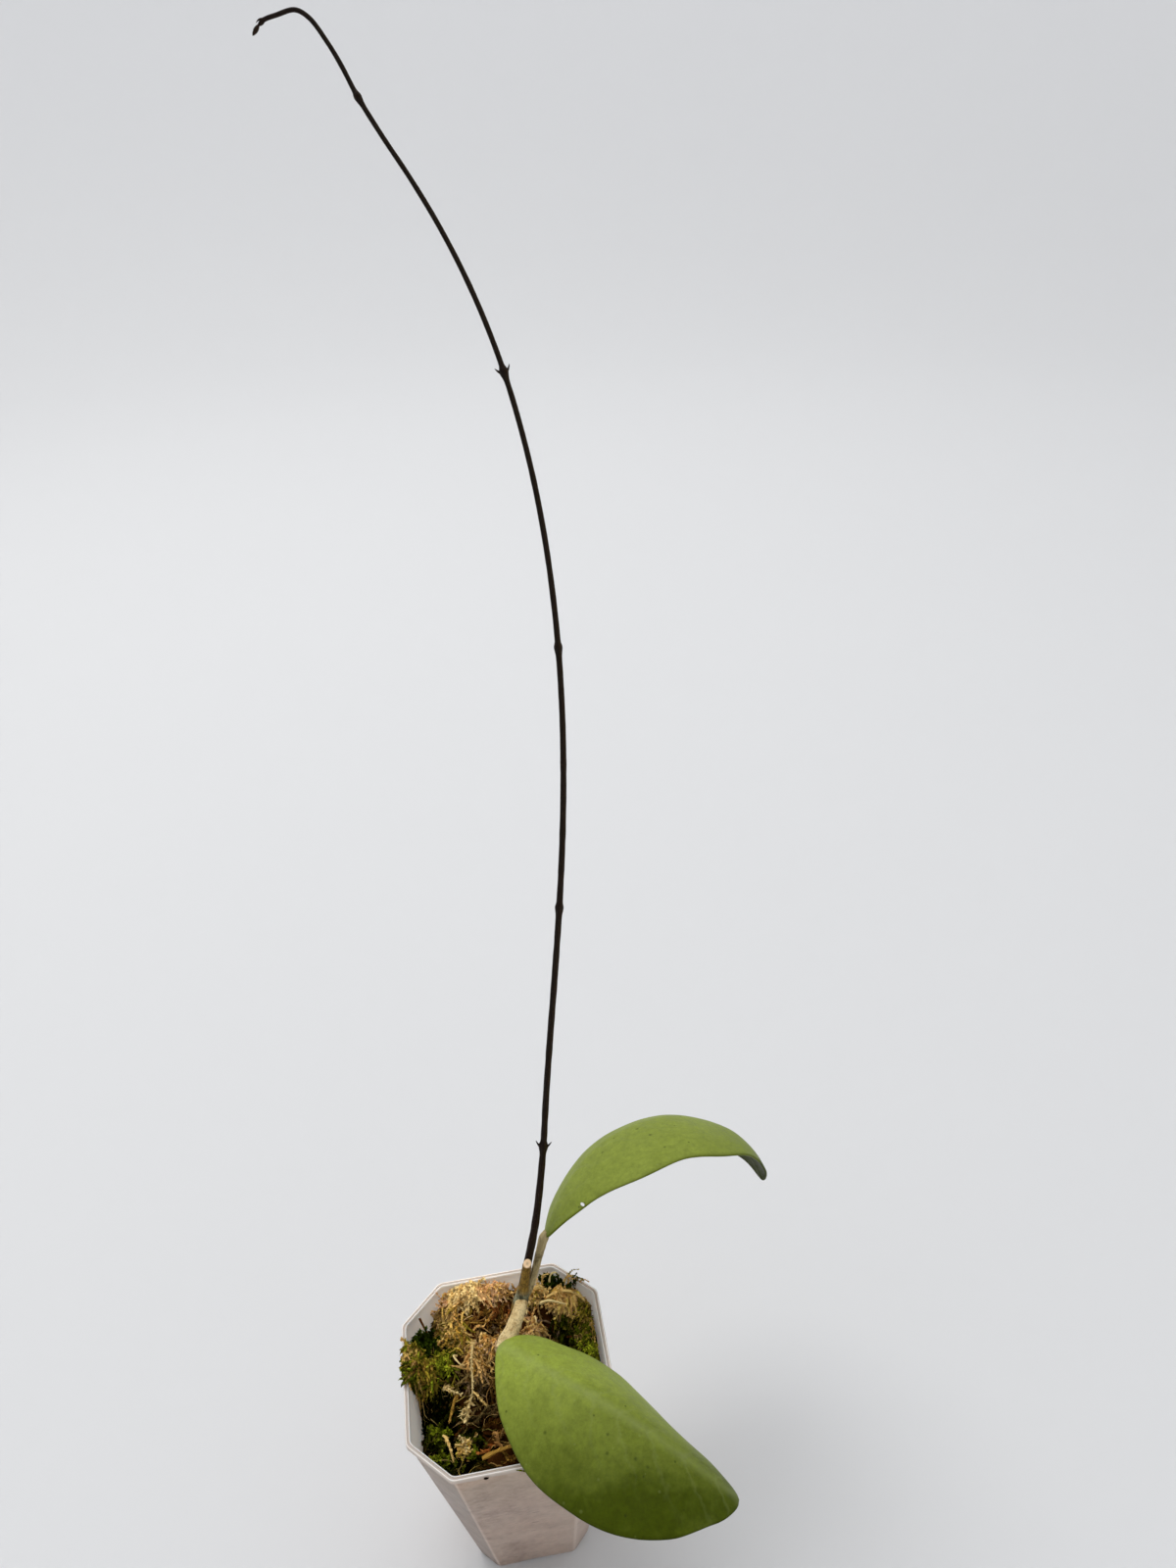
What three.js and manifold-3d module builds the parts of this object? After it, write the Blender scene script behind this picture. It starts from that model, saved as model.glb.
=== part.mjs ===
// A young hoya cutting in a clear nursery pot: a square pot with cut corners, packed with
// sphagnum moss, an old cutting with two thick leaves, and one long dark runner.
// Millimetres, +Z up. The origin is the middle of the pot's base, on the surface it stands on.
// The pot's front, where the big leaf hangs over the rim, faces -Y.

import * as THREE from 'three';
import { mergeVertices } from 'three/addons/utils/BufferGeometryUtils.js';
import Module from 'manifold-3d';

const wasm = await Module();
wasm.setup();

// Driving dimensions of the pot: widths are across the flats, cuts are what a corner loses
const POT_HEIGHT = 77;
const RIM = { width: 56, cut: 11.2, flange: 0.9, lip: 1.5, lipWall: 0.5 };
const WALL_TOP = { width: 54.6, cut: 10.8 };
const BASE = { width: 33, cut: 5.2 };
const WALL = 0.7;
const FLOOR = { underside: 1, top: 2.2 };
const FOOT_WIDTH = 1.5;
const NOTCH = { width: 9.5, height: 0.7 };
const DRAIN = { radius: 1.9, reach: 8.5, count: 4 };
const CORNER_ARC_STEPS = 2;
const CORNER_ROUND = 1.2;

// Clearance between pieces that touch
const SEAT_GAP = 0.3;

// The moss: its level below the rim, then heaps and hollows placed by eye
const MOSS_LEVEL = 72.5;
const MOSS_WALL_GAP = 0.4;
const MOSS_RINGS = 9;
const MOSS_SPOKES = 36;
const MOSS_LUMPS = [
  { name: 'left heap', x: -25, y: 8, rise: 5.5, spread: 5 },
  { name: 'left low side', x: -25, y: -9, rise: -5.5, spread: 8 },
  { name: 'back left corner', x: -21, y: 20, rise: -4.5, spread: 5 },
  { name: 'cream clump', x: -9, y: 22, rise: 3, spread: 6 },
  { name: 'gap behind the stem', x: 12, y: 26, rise: -6, spread: 4 },
  { name: 'tan lump', x: 12, y: 19, rise: 2.5, spread: 3.5 },
  { name: 'right green clump', x: 20, y: 21, rise: 2.5, spread: 4.5 },
  { name: 'right wall', x: 24, y: 4, rise: 1.5, spread: 6 },
  { name: 'dark hollow right', x: 16, y: 10, rise: -6, spread: 4.5 },
  { name: 'hollow by the stem', x: -2, y: 16, rise: -5, spread: 3.5 },
  { name: 'hollow at the middle', x: -6, y: -4, rise: -5, spread: 4.5 },
  { name: 'dark front left corner', x: -18, y: -18, rise: -5, spread: 6 },
  { name: 'front ridge', x: -3, y: -23, rise: 1.5, spread: 5 },
  { name: 'stem mound', x: 1, y: 6, rise: 2, spread: 5 },
];

// Strands of moss by colour: how many, how long and how wide
const STRANDS = {
  tan: { seed: 11, count: 46, long: [10, 17], wide: [0.8, 1.25], rise: [2, 3.6] },
  left: { seed: 23, count: 32, long: [7, 12], wide: [0.8, 1.25], rise: [1.8, 3.8] },
  right: { seed: 37, count: 16, long: [7, 12], wide: [0.8, 1.2], rise: [1.6, 3.2] },
};
const STRAND_STATIONS = 3;
const STRAND_SIDES = 3;
const STRAND_MARGIN = 0.93;
const STRAND_ROOT = 1.7;

// Where strands spill over the rim; everywhere else they end inside the wall
const SPILLS = [{ x: -26, y: 8, spread: 7 }, { x: 22, y: 22, spread: 5 }];
const SPILL_MARGIN = 1.1;

// Outlines, seen from above, of the two green parts of the moss
const LEFT_GREEN = [[-40, 15], [-21, 14.5], [-16, 7], [-17, -3], [-9, -10], [-8, -40], [-40, -40]];
const RIGHT_GREEN = [[40, 40], [9, 40], [11, 21], [19, 17], [21, 2], [20, -9], [40, -9]];
const COLOUR_SEAM = 0.3;

// The old cutting: path from deep in the moss, through the node, to the cut end of the stub
const OLD_STEM_PATH = [[-6, 0, 44], [-3.5, 2.5, 60], [-1, 5, 73], [3.4, 8.4, 82], [6.6, 10.8, 89.2],
  [8, 12.2, 94], [9.3, 13.2, 99.6]];
const OLD_STEM = { steps: 34, sides: 10, radius: 1.55, stubRadius: 1.25, nodeSwell: 0.7, nodeAt: 0.8 };

// The leaf stalks, from the node to each leaf
const FRONT_STALK_PATH = [[6, 9.6, 88.1], [5.4, 7, 88.7], [3.8, 3.4, 89.3], [1.7, 0, 89.5]];
const FRONT_STALK = { steps: 12, sides: 10, start: 1.75, end: 2.5 };
const BACK_STALK_PATH = [[9.2, 12.4, 90.4], [10.8, 14.6, 93], [12.6, 17.2, 96.4], [15, 19.9, 101.2]];
const BACK_STALK = { steps: 12, sides: 10, start: 0.95, end: 1.45 };

// Leaves: an oval blade with a drip tip, arched along its length and across, then turned in place.
// The two lists are half widths, left and right of the midrib, at WIDTH_STATIONS of the length.
const FRONT_LEAF = {
  length: 73.5, archDeg: 41.5, tipCurlDeg: 7.8, sideDeg: 22.1, foldDeg: 21.5, droopDeg: 29.3,
  twistDeg: -34.7, turnDeg: [-17, 7.1, -39.7], base: [-1.15, -1.5, 89.64],
  leftHalf: [5.5, 15.6, 22.7, 24.5, 23.3, 17.5, 9.3, 4.7],
  rightHalf: [10.4, 12, 19, 24.1, 23.1, 16.9, 8.9, 4.3],
};
const BACK_LEAF = {
  length: 91.7, archDeg: 134.7, tipCurlDeg: 19.3, sideDeg: 3.5, foldDeg: 9.3, droopDeg: 22.7,
  twistDeg: 8.6, turnDeg: [-40.9, 8.6, 12.7], base: [15.1, 19.8, 101],
  leftHalf: [6.9, 15.8, 24.2, 24.8, 23.1, 15.3, 8.4, 3.4],
  rightHalf: [7.9, 16.2, 23.5, 24.9, 22.8, 15.2, 5.5, 3.5],
};
const WIDTH_STATIONS = [0, 0.15, 0.32, 0.5, 0.68, 0.84, 0.94, 1];
const BASE_ROUND = 0.14;
const TIP_ROUND = 0.06;
const CURL_START = 0.75;
const DROOP_SPAN = 25;
const BLADE = { middle: 1.5, margin: 0.7, stations: 28, across: 8, start: 0.012, end: 0.995 };

// The runner: its route from the node to the hooked tip, and what it carries
const RUNNER_PATH = [[8.2, 14.9, 93.2], [10, 16.4, 98.1], [12.7, 19.9, 107.1], [15.2, 24.4, 117.4],
  [18, 29.1, 128], [20.5, 34.4, 140.1], [23.5, 41, 155], [26.8, 47.4, 169.7], [30.5, 55.1, 187.5],
  [33.1, 60.8, 200.8], [35.5, 67.9, 217.1], [37.2, 74.9, 233.2], [38.3, 81.7, 248.9],
  [38.6, 87.6, 262.4], [38.4, 93.4, 275.6], [36.9, 99.2, 288.7], [35.3, 104.9, 301.4],
  [33.7, 108.8, 310.3], [31.4, 112.5, 318.3], [28, 116.5, 326.6], [23.1, 122.7, 340],
  [17.7, 127.2, 349.2], [12.5, 132, 359.4], [8.3, 135.8, 367.5], [5.5, 138.6, 373.5],
  [2.8, 141.1, 378.9], [-0.2, 143.1, 383], [-3, 144.1, 384.6], [-7.2, 144.4, 383.9],
  [-10.6, 144.6, 383], [-11.9, 144.3, 381.9]];
const RUNNER = { steps: 90, sides: 8, start: 0.88, afterFirstNode: 0.72, end: 0.36 };
const RUNNER_NODES = [
  { z: 127.8, swell: 0.38, bract: 1.9 },
  { z: 187.5, swell: 0.28, bract: 1.5 },
  { z: 248.9, swell: 0.26, bract: 1.5 },
  { z: 310.3, swell: 0.34, bract: 1.9 },
  { z: 367.5, swell: 0.26, bract: 1.5 },
];
const NODE_LENGTH = 2.6;
const BRACT = { sides: 4, radius: 0.5, lean: 0.62 };

// Colours and finishes
const FINISH = {
  pot: { color: 0xe9e7ea, roughness: 0.38, metalness: 0, transparent: true, opacity: 0.55 },
  mossTan: { color: 0xa6824a, roughness: 0.95, metalness: 0 },
  mossLeft: { color: 0x5c6326, roughness: 0.95, metalness: 0 },
  mossRight: { color: 0x666a2c, roughness: 0.95, metalness: 0 },
  oldStem: { color: 0x86805f, roughness: 0.8, metalness: 0 },
  frontStalk: { color: 0xc8b78c, roughness: 0.75, metalness: 0 },
  backStalk: { color: 0xa3a083, roughness: 0.75, metalness: 0 },
  frontLeaf: { color: 0x6f9f45, roughness: 0.5, metalness: 0 },
  backLeaf: { color: 0x76904c, roughness: 0.55, metalness: 0 },
  runner: { color: 0x2e2520, roughness: 0.6, metalness: 0 },
};

const rad = THREE.MathUtils.degToRad;
const clamp = THREE.MathUtils.clamp;
const lerp = THREE.MathUtils.lerp;
const toVector = ([x, y, z]) => new THREE.Vector3(x, y, z);

// A repeatable random number from 0 to 1
function seededRandom(seed) {
  let state = seed >>> 0;
  return () => {
    state = (state + 0x6d2b79f5) >>> 0;
    let mixed = state;
    mixed = Math.imul(mixed ^ (mixed >>> 15), mixed | 1);
    mixed ^= mixed + Math.imul(mixed ^ (mixed >>> 7), mixed | 61);
    return ((mixed ^ (mixed >>> 14)) >>> 0) / 4294967296;
  };
}

// Geometry helpers
function geometryFrom(vertices, triangles) {
  const geometry = new THREE.BufferGeometry();
  const numbers = vertices.flatMap((v) => [v.x, v.y, v.z]);
  geometry.setAttribute('position', new THREE.Float32BufferAttribute(numbers, 3));
  geometry.setIndex(triangles.flat());
  return geometry;
}

// A closed solid through rings of points; its first and last rings are closed by fans
function solidThroughRings(rings) {
  const count = rings[0].length;
  const vertices = rings.flat();
  const triangles = [];
  for (let i = 0; i + 1 < rings.length; i += 1) {
    for (let j = 0; j < count; j += 1) {
      const a = i * count + j;
      const b = i * count + ((j + 1) % count);
      triangles.push([a, b, b + count], [a, b + count, a + count]);
    }
  }
  const addFan = (ring, offset, flip) => {
    const middle = ring.reduce((sum, p) => sum.add(p), new THREE.Vector3()).divideScalar(count);
    const index = vertices.push(middle) - 1;
    for (let j = 0; j < count; j += 1) {
      const a = offset + j;
      const b = offset + ((j + 1) % count);
      triangles.push(flip ? [index, b, a] : [index, a, b]);
    }
  };
  addFan(rings[0], 0, true);
  addFan(rings[rings.length - 1], (rings.length - 1) * count, false);
  return geometryFrom(vertices, triangles);
}

function toManifold(geometry) {
  const bare = geometry.clone();
  bare.deleteAttribute('normal');
  bare.deleteAttribute('uv');
  const merged = mergeVertices(bare, 1e-4);
  return new wasm.Manifold(new wasm.Mesh({
    numProp: 3,
    vertProperties: new Float32Array(merged.attributes.position.array),
    triVerts: new Uint32Array(merged.index.array),
  }));
}

function toGeometry(solid) {
  const mesh = solid.getMesh();
  const geometry = new THREE.BufferGeometry();
  geometry.setAttribute('position', new THREE.BufferAttribute(new Float32Array(mesh.vertProperties), 3));
  geometry.setIndex(new THREE.BufferAttribute(new Uint32Array(mesh.triVerts), 1));
  return geometry;
}

// The largest body of a solid, so that no loose scrap stays
function largestBody(solid) {
  return solid.decompose().reduce((best, body) => (body.volume() > best.volume() ? body : best));
}

// A round bar along a curve, with the radius that radiusAt gives for each share of its length
function barAlong(curve, { steps, sides }, radiusAt) {
  const unit = 0.5;
  const section = new THREE.Shape();
  for (let i = 0; i < sides; i += 1) {
    const angle = (i / sides) * 2 * Math.PI;
    const x = unit * Math.cos(angle);
    const y = unit * Math.sin(angle);
    if (i === 0) section.moveTo(x, y);
    else section.lineTo(x, y);
  }
  section.closePath();
  const bar = new THREE.ExtrudeGeometry(section, { steps, extrudePath: curve, bevelEnabled: false });
  const stations = curve.getSpacedPoints(steps);
  const position = bar.attributes.position;
  const vertex = new THREE.Vector3();
  for (let i = 0; i < position.count; i += 1) {
    vertex.fromBufferAttribute(position, i);
    let nearest = 0;
    stations.forEach((station, s) => {
      if (station.distanceToSquared(vertex) < stations[nearest].distanceToSquared(vertex)) nearest = s;
    });
    const scale = radiusAt(nearest / steps) / unit;
    vertex.sub(stations[nearest]).multiplyScalar(scale).add(stations[nearest]);
    position.setXYZ(i, vertex.x, vertex.y, vertex.z);
  }
  return bar;
}

const bump = (t, centre, spread) => Math.exp(-(((t - centre) / spread) ** 2));

// The pot: rings of a square with cut, slightly rounded corners
function cutSquareRing(width, cut, z) {
  const half = width / 2;
  const inner = half - cut;
  const corners = [[half, -inner], [half, inner], [inner, half], [-inner, half], [-half, inner],
    [-half, -inner], [-inner, -half], [inner, -half]].map(([x, y]) => new THREE.Vector2(x, y));
  const round = Math.min(CORNER_ROUND, cut * 0.25);
  const ring = [];
  corners.forEach((corner, i) => {
    const before = corners[(i + 7) % 8].clone().sub(corner).setLength(round).add(corner);
    const after = corners[(i + 1) % 8].clone().sub(corner).setLength(round).add(corner);
    for (let s = 0; s <= CORNER_ARC_STEPS; s += 1) {
      const t = s / CORNER_ARC_STEPS;
      const p = before.clone().lerp(corner, t).lerp(corner.clone().lerp(after, t), t);
      ring.push(new THREE.Vector3(p.x, p.y, z));
    }
  });
  return ring;
}

// Outside width and corner cut of the pot's tapered wall at a height
function wallAt(z) {
  const t = z / (POT_HEIGHT - RIM.lip);
  return { width: lerp(BASE.width, WALL_TOP.width, t), cut: lerp(BASE.cut, WALL_TOP.cut, t) };
}

// A ring that follows the wall at a height, moved in by a distance
function wallRing(z, inward) {
  const { width, cut } = wallAt(z);
  return cutSquareRing(width - 2 * inward, cut - (2 - Math.SQRT2) * inward, z);
}

function rimRing(inward, z) {
  return cutSquareRing(RIM.width - 2 * inward, RIM.cut - (2 - Math.SQRT2) * inward, z);
}

// The pot's solid; grown is how far every wall is thickened, for clearance round it
function potSolid(grown = 0) {
  const lipBottom = POT_HEIGHT - RIM.lip - grown;
  const flangeBottom = POT_HEIGHT - RIM.flange - grown;
  const rings = [
    wallRing(FLOOR.underside, FOOT_WIDTH + grown),
    wallRing(0, FOOT_WIDTH + grown),
    wallRing(0, -grown),
    wallRing(flangeBottom, -grown),
    rimRing(RIM.lipWall - grown, flangeBottom),
    rimRing(RIM.lipWall - grown, lipBottom),
    rimRing(-grown, lipBottom),
    rimRing(-grown, POT_HEIGHT + grown),
    wallRing(POT_HEIGHT + grown, WALL + grown),
    wallRing(FLOOR.top + grown, WALL + grown),
  ];
  return toManifold(solidThroughRings(rings));
}

function pot() {
  let solid = potSolid();
  const notch = new THREE.BoxGeometry(NOTCH.width, BASE.width + 4, 2 * NOTCH.height);
  solid = solid.subtract(toManifold(notch));
  solid = solid.subtract(toManifold(notch.clone().rotateZ(Math.PI / 2)));
  for (let i = 0; i < DRAIN.count; i += 1) {
    const angle = ((i + 0.5) / DRAIN.count) * 2 * Math.PI;
    const hole = new THREE.CylinderGeometry(DRAIN.radius, DRAIN.radius, 3 * FLOOR.top, 12);
    hole.rotateX(Math.PI / 2);
    hole.translate(DRAIN.reach * Math.cos(angle), DRAIN.reach * Math.sin(angle), FLOOR.top);
    solid = solid.subtract(toManifold(hole));
  }
  return toGeometry(solid);
}

// The moss: a packed bed with a lumpy top, and strands rooted in it
function mossHeight(x, y) {
  let z = MOSS_LEVEL;
  MOSS_LUMPS.forEach((lump) => {
    z += lump.rise * Math.exp(-((x - lump.x) ** 2 + (y - lump.y) ** 2) / (2 * lump.spread ** 2));
  });
  z += 0.5 * Math.sin(0.9 * x + 0.6 * y) + 0.45 * Math.sin(1.3 * y - 0.7 * x + 1);
  z += 0.35 * Math.sin(2.1 * x + 0.4) * Math.sin(1.9 * y + 0.8);
  return z;
}

// Where a ray from the axis meets the inside of the wall, at a height
function insideReach(angle, z) {
  const { width, cut } = wallAt(z);
  const inward = WALL + MOSS_WALL_GAP;
  const half = width / 2 - inward;
  const diagonal = width - cut - 2 * inward + (2 - Math.SQRT2) * inward;
  const c = Math.abs(Math.cos(angle));
  const s = Math.abs(Math.sin(angle));
  return Math.min(half / Math.max(c, s), diagonal / (c + s));
}

function mossBed() {
  const rings = [];
  const bottom = FLOOR.top + SEAT_GAP;
  const ringAt = (share, heightAt) => {
    const ring = [];
    for (let j = 0; j < MOSS_SPOKES; j += 1) {
      const angle = (j / MOSS_SPOKES) * 2 * Math.PI;
      let z = MOSS_LEVEL;
      for (let pass = 0; pass < 3; pass += 1) {
        const reach = share * insideReach(angle, z);
        z = heightAt(reach * Math.cos(angle), reach * Math.sin(angle));
      }
      const reach = share * insideReach(angle, z);
      ring.push(new THREE.Vector3(reach * Math.cos(angle), reach * Math.sin(angle), z));
    }
    return ring;
  };
  rings.push(ringAt(1, () => bottom));
  for (let i = MOSS_RINGS; i >= 1; i -= 1) rings.push(ringAt(i / MOSS_RINGS, mossHeight));
  return toManifold(solidThroughRings(rings));
}

// A strand's point, drawn back where it would reach the wall
function keptInside(x, y, margin) {
  const share = Math.hypot(x, y) / insideReach(Math.atan2(y, x), MOSS_LEVEL);
  const scale = Math.min(1, margin / share);
  return [x * scale, y * scale];
}

// One strand: it leaves the bed, arches over and dips back, thinning to its end
function mossStrand(random, x, y, { long, wide, rise }) {
  const pick = ([low, high]) => lerp(low, high, random());
  const length = pick(long);
  const heading = random() * 2 * Math.PI;
  const bend = (random() - 0.5) * 1.6;
  const thickness = pick(wide);
  const arch = pick(rise);
  const spills = SPILLS.some((spill) => Math.hypot(x - spill.x, y - spill.y) < spill.spread);
  const margin = spills ? SPILL_MARGIN : STRAND_MARGIN;
  const points = [];
  for (let i = 0; i <= STRAND_STATIONS; i += 1) {
    const t = i / STRAND_STATIONS;
    const angle = heading + bend * t;
    const along = length * (t - 0.35);
    const [px, py] = keptInside(x + along * Math.cos(angle), y + along * Math.sin(angle), margin);
    const lift = arch * Math.sin(Math.PI * Math.min(1, t * 1.15)) - STRAND_ROOT * (1 - t) ** 2;
    const free = mossHeight(px, py) + lift;
    const room = insideReach(Math.atan2(py, px), POT_HEIGHT);
    const overRim = Math.hypot(px, py) > room - 1.5 ? POT_HEIGHT + 1.2 : free;
    points.push(new THREE.Vector3(px, py, Math.max(free, overRim)));
  }
  const curve = new THREE.CatmullRomCurve3(points);
  const profile = { steps: STRAND_STATIONS, sides: STRAND_SIDES };
  return toManifold(barAlong(curve, profile, (t) => thickness * (1 - 0.72 * t)));
}

function insideOutline(x, y, outline) {
  let inside = false;
  outline.forEach(([ax, ay], i) => {
    const [bx, by] = outline[(i + 1) % outline.length];
    if ((ay > y) !== (by > y) && x < ((bx - ax) * (y - ay)) / (by - ay) + ax) inside = !inside;
  });
  return inside;
}

const zoneOf = (x, y) => {
  if (insideOutline(x, y, LEFT_GREEN)) return 'left';
  return insideOutline(x, y, RIGHT_GREEN) ? 'right' : 'tan';
};

// Strands of one colour, rooted inside its own part of the bed
function strandsIn(zone) {
  const settings = STRANDS[zone];
  const random = seededRandom(settings.seed);
  const strands = [];
  while (strands.length < settings.count) {
    const x = lerp(-27, 27, random());
    const y = lerp(-27, 27, random());
    const distance = Math.hypot(x, y) / insideReach(Math.atan2(y, x), MOSS_LEVEL);
    if (distance < 0.96 && zoneOf(x, y) === zone) strands.push(mossStrand(random, x, y, settings));
  }
  return strands;
}

function prismOver(outline) {
  const shape = new THREE.Shape(outline.map(([x, y]) => new THREE.Vector2(x, y)));
  return toManifold(new THREE.ExtrudeGeometry(shape, { depth: 2 * POT_HEIGHT, bevelEnabled: false }));
}

// A thin wall along an outline, which keeps two colours of moss apart
function seamAlong(outline) {
  const walls = outline.map(([ax, ay], i) => {
    const [bx, by] = outline[(i + 1) % outline.length];
    const length = Math.hypot(bx - ax, by - ay);
    const wall = new THREE.BoxGeometry(length + COLOUR_SEAM, COLOUR_SEAM, 2 * POT_HEIGHT);
    wall.rotateZ(Math.atan2(by - ay, bx - ax));
    wall.translate((ax + bx) / 2, (ay + by) / 2, POT_HEIGHT);
    return toManifold(wall);
  });
  return wasm.Manifold.union(walls);
}

function mossParts(keepOut) {
  const bed = mossBed();
  const seams = wasm.Manifold.union([seamAlong(LEFT_GREEN), seamAlong(RIGHT_GREEN)]);
  const leftPrism = prismOver(LEFT_GREEN);
  const rightPrism = prismOver(RIGHT_GREEN);
  const clear = (solid) => toGeometry(largestBody(solid.subtract(seams).subtract(keepOut)));
  const grownWith = (zone) => wasm.Manifold.union([bed, ...strandsIn(zone)]);
  return {
    tan: clear(grownWith('tan').subtract(leftPrism).subtract(rightPrism)),
    left: clear(grownWith('left').intersect(leftPrism)),
    right: clear(grownWith('right').intersect(rightPrism)),
  };
}

// The old cutting, with its swollen node and the stub above it
function oldStem(grown = 0) {
  const curve = new THREE.CatmullRomCurve3(OLD_STEM_PATH.map(toVector));
  const radiusAt = (t) => {
    const plain = t < OLD_STEM.nodeAt ? OLD_STEM.radius : OLD_STEM.stubRadius;
    return plain + OLD_STEM.nodeSwell * bump(t, OLD_STEM.nodeAt, 0.06) + grown;
  };
  return barAlong(curve, OLD_STEM, radiusAt);
}

function stalk(path, { steps, sides, start, end }) {
  const curve = new THREE.CatmullRomCurve3(path.map(toVector));
  return barAlong(curve, { steps, sides }, (t) => lerp(start, end, t * t));
}

// Half the width of a blade at a share of its length, on a smooth curve through its list
function halfWidthAt(u, widths) {
  const last = WIDTH_STATIONS.length - 1;
  const k = clamp(WIDTH_STATIONS.findIndex((station) => station > u) - 1, 0, last - 1);
  const from = u >= WIDTH_STATIONS[last] ? last - 1 : k;
  const slopeAt = (i) => {
    const before = Math.max(i - 1, 0);
    const after = Math.min(i + 1, last);
    return (widths[after] - widths[before]) / (WIDTH_STATIONS[after] - WIDTH_STATIONS[before]);
  };
  const span = WIDTH_STATIONS[from + 1] - WIDTH_STATIONS[from];
  const t = (u - WIDTH_STATIONS[from]) / span;
  const width = (2 * t ** 3 - 3 * t ** 2 + 1) * widths[from]
    + (t ** 3 - 2 * t ** 2 + t) * span * slopeAt(from)
    + (3 * t ** 2 - 2 * t ** 3) * widths[from + 1]
    + (t ** 3 - t ** 2) * span * slopeAt(from + 1);
  const atBase = Math.sqrt(1 - clamp(1 - u / BASE_ROUND, 0, 1) ** 2);
  const atTip = Math.sqrt(1 - clamp((u - 1 + TIP_ROUND) / TIP_ROUND, 0, 1) ** 2);
  return Math.max(0, width) * atBase * atTip;
}

// The midrib in the leaf's own frame: along +X, arched in the XZ plane, bent sideways in XY
function midribOf(leaf) {
  const fine = 400;
  const points = [new THREE.Vector3()];
  const directions = [];
  for (let i = 0; i <= fine; i += 1) {
    const u = i / fine;
    const curl = leaf.tipCurlDeg * clamp((u - CURL_START) / (1 - CURL_START), 0, 1) ** 1.5;
    const pitch = -rad(leaf.archDeg * (u - 0.5) + curl);
    const yaw = rad(leaf.sideDeg * (u - 0.5));
    directions.push(new THREE.Vector3(Math.cos(pitch) * Math.cos(yaw), Math.cos(pitch) * Math.sin(yaw),
      Math.sin(pitch)));
    if (i > 0) {
      const step = directions[i].clone().add(directions[i - 1]).multiplyScalar(leaf.length / fine / 2);
      points.push(points[i - 1].clone().add(step));
    }
  }
  return (u) => {
    const at = Math.round(u * fine);
    return { point: points[at], along: directions[at], yaw: rad(leaf.sideDeg * (u - 0.5)) };
  };
}

// A blade of the leaf: two skins over the same grid, thick at the midrib, thin at the margin
function leafBlade(leaf, grown = 0) {
  const midrib = midribOf(leaf);
  const { stations, across } = BLADE;
  const top = [];
  const bottom = [];
  const fold = rad(leaf.foldDeg);
  const bend = rad(leaf.droopDeg) / DROOP_SPAN;
  for (let i = 0; i <= stations; i += 1) {
    const even = 0.5 - 0.5 * Math.cos((Math.PI * i) / stations);
    const u = lerp(BLADE.start, BLADE.end, 0.45 * (i / stations) + 0.55 * even);
    const { point, along, yaw } = midrib(u);
    const twist = rad(leaf.twistDeg * (u - 0.5));
    const flatSide = new THREE.Vector3(-Math.sin(yaw), Math.cos(yaw), 0);
    const flatUp = along.clone().cross(flatSide);
    const side = flatSide.clone().multiplyScalar(Math.cos(twist)).addScaledVector(flatUp, Math.sin(twist));
    const up = flatUp.clone().multiplyScalar(Math.cos(twist)).addScaledVector(flatSide, -Math.sin(twist));
    for (let j = 0; j <= across; j += 1) {
      const v = (2 * j) / across - 1;
      const reach = Math.abs(v) * halfWidthAt(u, v < 0 ? leaf.leftHalf : leaf.rightHalf);
      const slope = fold + bend * reach;
      const out = (Math.sin(slope) - Math.sin(fold)) / bend;
      const down = (Math.cos(fold) - Math.cos(slope)) / bend;
      const skin = point.clone().addScaledVector(side, Math.sign(v) * out).addScaledVector(up, -down);
      const tilt = Math.sign(v) * slope;
      const normal = up.clone().multiplyScalar(Math.cos(tilt)).addScaledVector(side, Math.sin(tilt));
      const thick = lerp(BLADE.middle, BLADE.margin, Math.abs(v) ** 0.8) / 2 + grown;
      top.push(skin.clone().addScaledVector(normal, thick));
      bottom.push(skin.clone().addScaledVector(normal, -thick));
    }
  }
  const row = across + 1;
  const last = stations * row;
  const under = top.length;
  const triangles = [];
  const quad = (a, b, c, d) => triangles.push([a, b, c], [a, c, d]);
  for (let i = 0; i < stations; i += 1) {
    for (let j = 0; j < across; j += 1) {
      const a = i * row + j;
      quad(a, a + row, a + row + 1, a + 1);
      quad(under + a, under + a + 1, under + a + row + 1, under + a + row);
    }
    const near = i * row;
    const far = near + across;
    quad(near, under + near, under + near + row, near + row);
    quad(far, far + row, under + far + row, under + far);
  }
  for (let j = 0; j < across; j += 1) {
    quad(j, j + 1, under + j + 1, under + j);
    quad(last + j, under + last + j, under + last + j + 1, last + j + 1);
  }
  return geometryFrom([...top, ...bottom], triangles);
}

function placeLeaf(object, leaf) {
  const [x, y, z] = leaf.turnDeg.map(rad);
  object.rotation.set(x, y, z, 'ZYX');
  object.position.set(...leaf.base);
  object.updateMatrixWorld(true);
  return object;
}

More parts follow.
